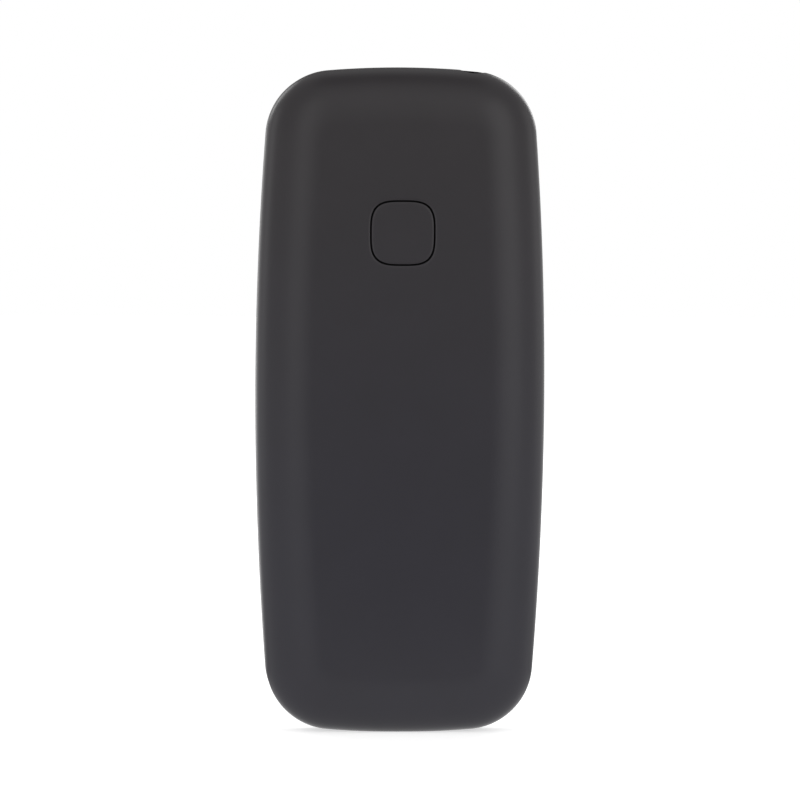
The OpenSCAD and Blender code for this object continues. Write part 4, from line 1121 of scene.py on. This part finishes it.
def weaveShape(plug, inputs):
    pitch, sets = inputs["Pitch"], []
    for run, count, points, side, up, sign in (("Width", "Rows", "Row Points", "x", "z", 1.0),
                                               ("Height", "Columns", "Column Points", "z", "x", -1.0)):
        half = inputs[run] * 0.5
        start, end = (vector(plug, **{side: half * way}) for way in (-1, 1))
        wire = plug.make("GeometryNodeCurvePrimitiveLine", values={"Start": start, "End": end})
        wire = plug.make("GeometryNodeResampleCurve", values={"Curve": wire, "Count": inputs[points]})
        first = vector(plug, **{up: (inputs[count] - 1) * pitch * -0.5})
        spots = plug.make("GeometryNodeMeshLine", values={
            "Count": inputs[count], "Start Location": first, "Offset": vector(plug, **{up: pitch})})
        wires = plug.make("GeometryNodeInstanceOnPoints", values={"Points": spots, "Instance": wire})
        wires = plug.make("GeometryNodeRealizeInstances", values={0: wires})
        x, z = plug.make("GeometryNodeInputPosition").axes()[::2]
        turn = plug.maths("DIVIDE", math.pi, pitch)
        sway = plug.maths("COSINE", x * turn) * plug.maths("COSINE", z * turn) * inputs["Wave"] * sign
        wires = plug.make("GeometryNodeSetPosition", values={"Geometry": wires, "Offset": vector(plug, y=sway)})
        ring = plug.make("GeometryNodeCurvePrimitiveCircle", values={
            "Resolution": inputs["Wire Sides"], "Radius": inputs["Wire"]})
        sets.append(plug.make("GeometryNodeCurveToMesh", values={
            "Curve": wires, "Profile Curve": ring, "Fill Caps": True}))
    return joined(plug, *sets)


weave = growPiece("earpieceMesh", [nodeMiddle("earpiece_mesh")], weaveSizes, weaveShape, "meshSteel")
place(weave, "phone", "earpiece_mesh")

# snap domes under the keys and the four sides of the ring
domeSizes = {"Foot Radius": 2.0 * mm, "Top Radius": 1.15 * mm, "Height": 0.15 * mm, "Sides": 32}


def domeShape(plug, inputs):
    cone = plug.make("GeometryNodeMeshCone", values={
        "Vertices": inputs["Sides"], "Radius Top": inputs["Top Radius"], "Radius Bottom": inputs["Foot Radius"],
        "Depth": inputs["Height"]}, out="Mesh")
    return turnedBack(plug, cone, quarterTurn)


def makeDomes():
    boardY = nodeBox("dome_switches")[1][1]
    spots = [keySpot(node) for node in numberKeys + sideKeys + ["ok_key"]]
    x, z = keySpot("nav_ring")
    reachX, reachZ = ringReach
    spots += [(x + reachX, z), (x - reachX, z), (x, z + reachZ), (x, z - reachZ)]
    domes = growPiece("domeSwitches", [(a, boardY, b) for a, b in spots], domeSizes, domeShape, "domeSteel")
    place(domes, "phone", "dome_switches")


makeDomes()
print("screws, weave and domes made")

# battery: eased slab with end caps and three contact pads
batterySizes = {"ease": 0.7, "endEase": 0.35, "seam": 3.2, "seamDeep": 0.08, "seamHalf": 0.08,
                "padStep": 2.6, "padWide": 1.7, "padHigh": 2.2, "padCorner": 0.3, "padUp": 1.55,
                "padLevels": (-0.2, 0.015), "steps": (6, 2), "endSteps": 4, "padSteps": (4, 1)}


def makeBattery():
    s = batterySizes
    low, high = nodeBox("battery")
    wide, thick = nodeSpan("battery")[:2]
    mid, plan = nodeMiddle("battery"), insetRect(wide, thick, s["ease"], *s["steps"])
    ends = rounding(s["endEase"], s["endSteps"])
    stations = [(low[2] + rise, inset) for inset, rise in ends]
    for z in (low[2] + s["seam"], high[2] - s["seam"]):
        stations += [(z - s["seamHalf"], 0), (z, s["seamDeep"]), (z + s["seamHalf"], 0)]
    stations += [(high[2] - rise, inset) for inset, rise in ends[::-1]]
    solid = Solid()
    solid.capped([solid.ring([(mid[0] + x, mid[1] + y, z) for x, y in plan(inset)]) for z, inset in stations])
    pad = roundedRect(s["padWide"], s["padHigh"], s["padCorner"], *s["padSteps"])
    for i in (-1, 0, 1):
        x, y = i * s["padStep"], low[1] + s["padUp"]
        solid.capped([solid.ring([(x + a, y + b, high[2] + lift) for a, b in pad]) for lift in s["padLevels"]], 1)
    place(solidPiece("batteryPack", solid, "batteryWrap", "contactGold"), "phone", "battery")


makeBattery()

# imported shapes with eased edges: node, width of the easing, and its own finish or body where it has one
easedNodes = {
    "rearChassis": ("rear_chassis", 0.12), "batteryContacts": ("battery_contacts", 0.10, "contactBlock"),
    "chargingPort": ("usb_port", 0.10, "portSteel"), "headsetSocket": ("audio_jack", 0.15),
    "vibrationMotor": ("vibration_motor", 0.12), "rearSwitch": ("assist_switch", 0.10),
    "cardSocketOne": ("sim_socket_1", 0.08), "cardSocketTwo": ("sim_socket_2", 0.08),
    "memorySocket": ("memory_card_socket", 0.08), "shieldCans": ("shield_cans", 0.06),
    "earpieceCan": ("earpiece", 0.25), "microphoneCan": ("microphone", 0.15, "foamDark"),
    # the microphone takes dark foam instead of its can's metal: a dark boot over it, and painted shade in the hole in
    # front of it
    "mainBoard": ("main_board", 0.05), "antennaFilm": ("antenna", 0.03),
    "displayGasket": ("display_gasket", 0.05), "displayFlex": ("display_flex", 0.04),
    "keypadMat": ("keypad_mat", 0.06),
    "eccentricWeight": ("eccentric_weight", 0.12, None, "eccentric_weight"),
    "navPad": ("nav_pad", 0.05, None, "nav_pad"),
}
for name, details in easedNodes.items():
    softened(name, *details)
print("inside made")

# studio: pale floor, white surroundings and soft boxes; what glossy surfaces see is dimmer
# overhead, before the keys and in a strip behind the camera
studio = {
    "ambient": 0.60, "floorSize": 6.0, "floorTone": 0.80, "floorGlow": 0.60, "floorShine": 1.36, "boxAway": 0.98,
    "overhead": (180.0, 72.0), "overheadEdge": (21.0, 5.0), "overheadTone": 0.50,
    "strip": 184.0, "stripEdge": (14.0, 5.0), "stripRise": (10.0, -8.0), "stripFloor": (0.07, 0.13),
    "stripTone": 0.49,
    "brow": (180.0, 36.0), "browEdge": (20.0, 4.0), "browTone": 0.26,
    "front": (0.0, 12.0), "frontEdge": (62.0, 18.0), "frontTone": 0.30, "frontFloor": (0.0, -0.03, -0.45),
    "frontShine": 0.46,
    "skyline": (3.0, 8.0), "skylineRise": (8.0, 4.0), "skylineFloor": (0.06, 0.24),
    "boxes": {      # azimuth, elevation, width and height in metres, brightness against white
        "leftBox": (161.0, 10.0, 0.31, 0.90, 0.86),
        "rightBox": (209.5, 10.0, 0.42, 0.90, 1.14),
        "leftSideBox": (92.0, 8.0, 0.40, 0.80, 0.90),
        "rightSideBox": (268.0, 8.0, 0.40, 0.80, 0.60),
        "frontLeftBox": (-34.0, 26.0, 0.40, 0.60, 3.4),
        "frontRightBox": (42.0, 30.0, 0.34, 0.54, 3.0),
    },
}


def awayFrom(azimuth, elevation):        # direction from the object: azimuth 0 faces the keys, 180 the back
    turn, rise = math.radians(azimuth), math.radians(elevation)
    return Vector((math.sin(turn) * math.cos(rise), -math.cos(turn) * math.cos(rise), math.sin(rise)))


def sines(name):                         # sines of a pair of the studio's angles
    return [math.sin(math.radians(angle)) for angle in studio[name]]


def rayShare(plug, *kinds):              # 1 for any of these kinds of ray
    share = plug.make("ShaderNodeLightPath", out=kinds[0])
    for kind in kinds[1:]:
        share = plug.maths("MAXIMUM", share, plug.make("ShaderNodeLightPath", out=kind))
    return share


def along(plug, way, direction):         # cosine of the angle from a direction
    return plug.make("ShaderNodeVectorMath", {"operation": "DOT_PRODUCT"}, {0: way, 1: direction}, out="Value")


def patch(plug, way, name, tone):        # soft round patch of the surroundings
    outer, inner = (math.cos(math.radians(angle)) for angle in studio[name + "Edge"])
    return plug.ramp(along(plug, way, awayFrom(*studio[name])), outer, inner, tone)


def stripShare(plug, way):               # 1 inside the upright strip behind the camera
    side = plug.maths("ABSOLUTE", along(plug, way, awayFrom(studio["strip"] + 90, 0)))
    return plug.ramp(side, *sines("stripEdge"), 1.0) * (along(plug, way, awayFrom(studio["strip"], 0)) > 0)


def skylineShare(plug, way):             # 1 to either side of straight ahead, where the rims of the back look
    return plug.ramp(plug.maths("ABSOLUTE", way.axes()[0]), *sines("skyline"), 1.0)


def makeWorld():
    world = bpy.context.scene.world = bpy.data.worlds.new("studioWorld")
    world.use_nodes = True
    world.node_tree.nodes.clear()
    plug = Plug(world.node_tree)
    way = plug.make("ShaderNodeTexCoord", out="Generated")
    height = way.axes()[2]
    above = patch(plug, way, "overhead", 1 - studio["overheadTone"])
    behind = stripShare(plug, way) * plug.ramp(height, *sines("stripRise"), 1 - studio["stripTone"])
    before = patch(plug, way, "front", 1 - studio["frontTone"])
    before = before * (1 - skylineShare(plug, way) * plug.ramp(height, *sines("skylineRise"), 1.0))
    brow = patch(plug, way, "brow", studio["browTone"])
    soft = plug.make("ShaderNodeBackground", values={"Color": (1, 1, 1), "Strength": studio["ambient"]})
    white = plug.make("ShaderNodeBackground", values={
        "Color": (1, 1, 1), "Strength": 1 + (brow - above - behind - before) * rayShare(plug, "Is Glossy Ray")})
    shown = plug.make("ShaderNodeMixShader", values={
        0: rayShare(plug, "Is Camera Ray", "Is Glossy Ray", "Is Transmission Ray"), 1: soft, 2: white})
    plug.make("ShaderNodeOutputWorld", values={"Surface": shown})


def makeBoxes():
    middle = Vector((0, 0, tall * mm / 2))
    for name, (azimuth, elevation, wide, high, bright) in studio["boxes"].items():
        lamp = bpy.data.lights.new(name, "AREA")
        lamp.shape, lamp.size, lamp.size_y = "RECTANGLE", wide, high
        lamp.energy = bright * math.pi * wide * high
        holder = bpy.data.objects.new(name, lamp)
        away = awayFrom(azimuth, elevation)
        holder.location = middle + away * studio["boxAway"]
        holder.rotation_euler = (-away).to_track_quat("-Z", "Y").to_euler()
        holder.visible_camera = False
        collection.objects.link(holder)


def makeFloor():
    reach, tone, shine = studio["floorSize"] / 2, studio["floorTone"], studio["floorShine"]
    plug, spot = newFinish("floorWhite")
    lit = plug.make("ShaderNodeBsdfDiffuse", values={"Color": (tone, tone, tone)})
    glow = plug.make("ShaderNodeEmission", values={
        "Color": (1, 1, 1), "Strength": rayShare(plug, "Is Camera Ray") * studio["floorGlow"]})
    seen = plug.make("ShaderNodeAddShader", values={0: lit, 1: glow})
    fromMiddle = along(plug, spot, awayFrom(studio["strip"], 0))
    dim = plug.ramp(fromMiddle, *studio["stripFloor"], shine - studio["stripTone"])
    way = plug.make("ShaderNodeVectorMath", {"operation": "NORMALIZE"}, {0: spot})
    back, front, away = studio["frontFloor"]
    y = spot.axes()[1]
    less = plug.ramp(y, back, front, shine - studio["frontShine"])
    less = less + plug.ramp(y, front, away, studio["frontShine"] - studio["frontTone"])
    reached = plug.make("ShaderNodeVectorMath", {"operation": "LENGTH"}, {0: spot}, out="Value")
    less = less * (1 - skylineShare(plug, way) * plug.ramp(reached, *studio["skylineFloor"], 1.0))
    white = plug.make("ShaderNodeEmission", values={
        "Color": (1, 1, 1), "Strength": shine - dim * stripShare(plug, way) - less})
    plug.make("ShaderNodeOutputMaterial", values={"Surface": plug.make("ShaderNodeMixShader", values={
        0: rayShare(plug, "Is Glossy Ray", "Is Transmission Ray"), 1: seen, 2: white})})
    mesh = bpy.data.meshes.new("studioFloor")
    corners = [(-reach, -reach, 0), (reach, -reach, 0), (reach, reach, 0), (-reach, reach, 0)]
    mesh.from_pydata(corners, [], [(0, 1, 2, 3)])
    floor = linkMesh("studioFloor", mesh, ["floorWhite"])


makeWorld()
makeBoxes()
makeFloor()

# camera square on to the back but for a few degrees, a touch rolled
cameraSizes = {"azimuth": 176.8, "elevation": 2.3, "distance": 0.9, "aim": (0.08, 1.5, 58.02),
               "across": 139.7, "sensor": 36.0, "roll": 0.27}


def makeCamera():
    s = cameraSizes
    lens = bpy.data.cameras.new("backCamera")
    lens.sensor_width = s["sensor"]
    lens.lens = s["sensor"] * s["distance"] / (s["across"] * mm)
    holder = bpy.data.objects.new("backCamera", lens)
    away = awayFrom(s["azimuth"], s["elevation"])
    holder.location = Vector(s["aim"]) * mm + away * s["distance"]
    holder.rotation_mode = "QUATERNION"
    holder.rotation_quaternion = (-away).to_track_quat("-Z", "Y") @ Quaternion((0, 0, 1), math.radians(s["roll"]))
    collection.objects.link(holder)
    bpy.context.scene.camera = holder


makeCamera()
bpy.context.scene.view_settings.view_transform = "Standard"
print("studio and camera made")
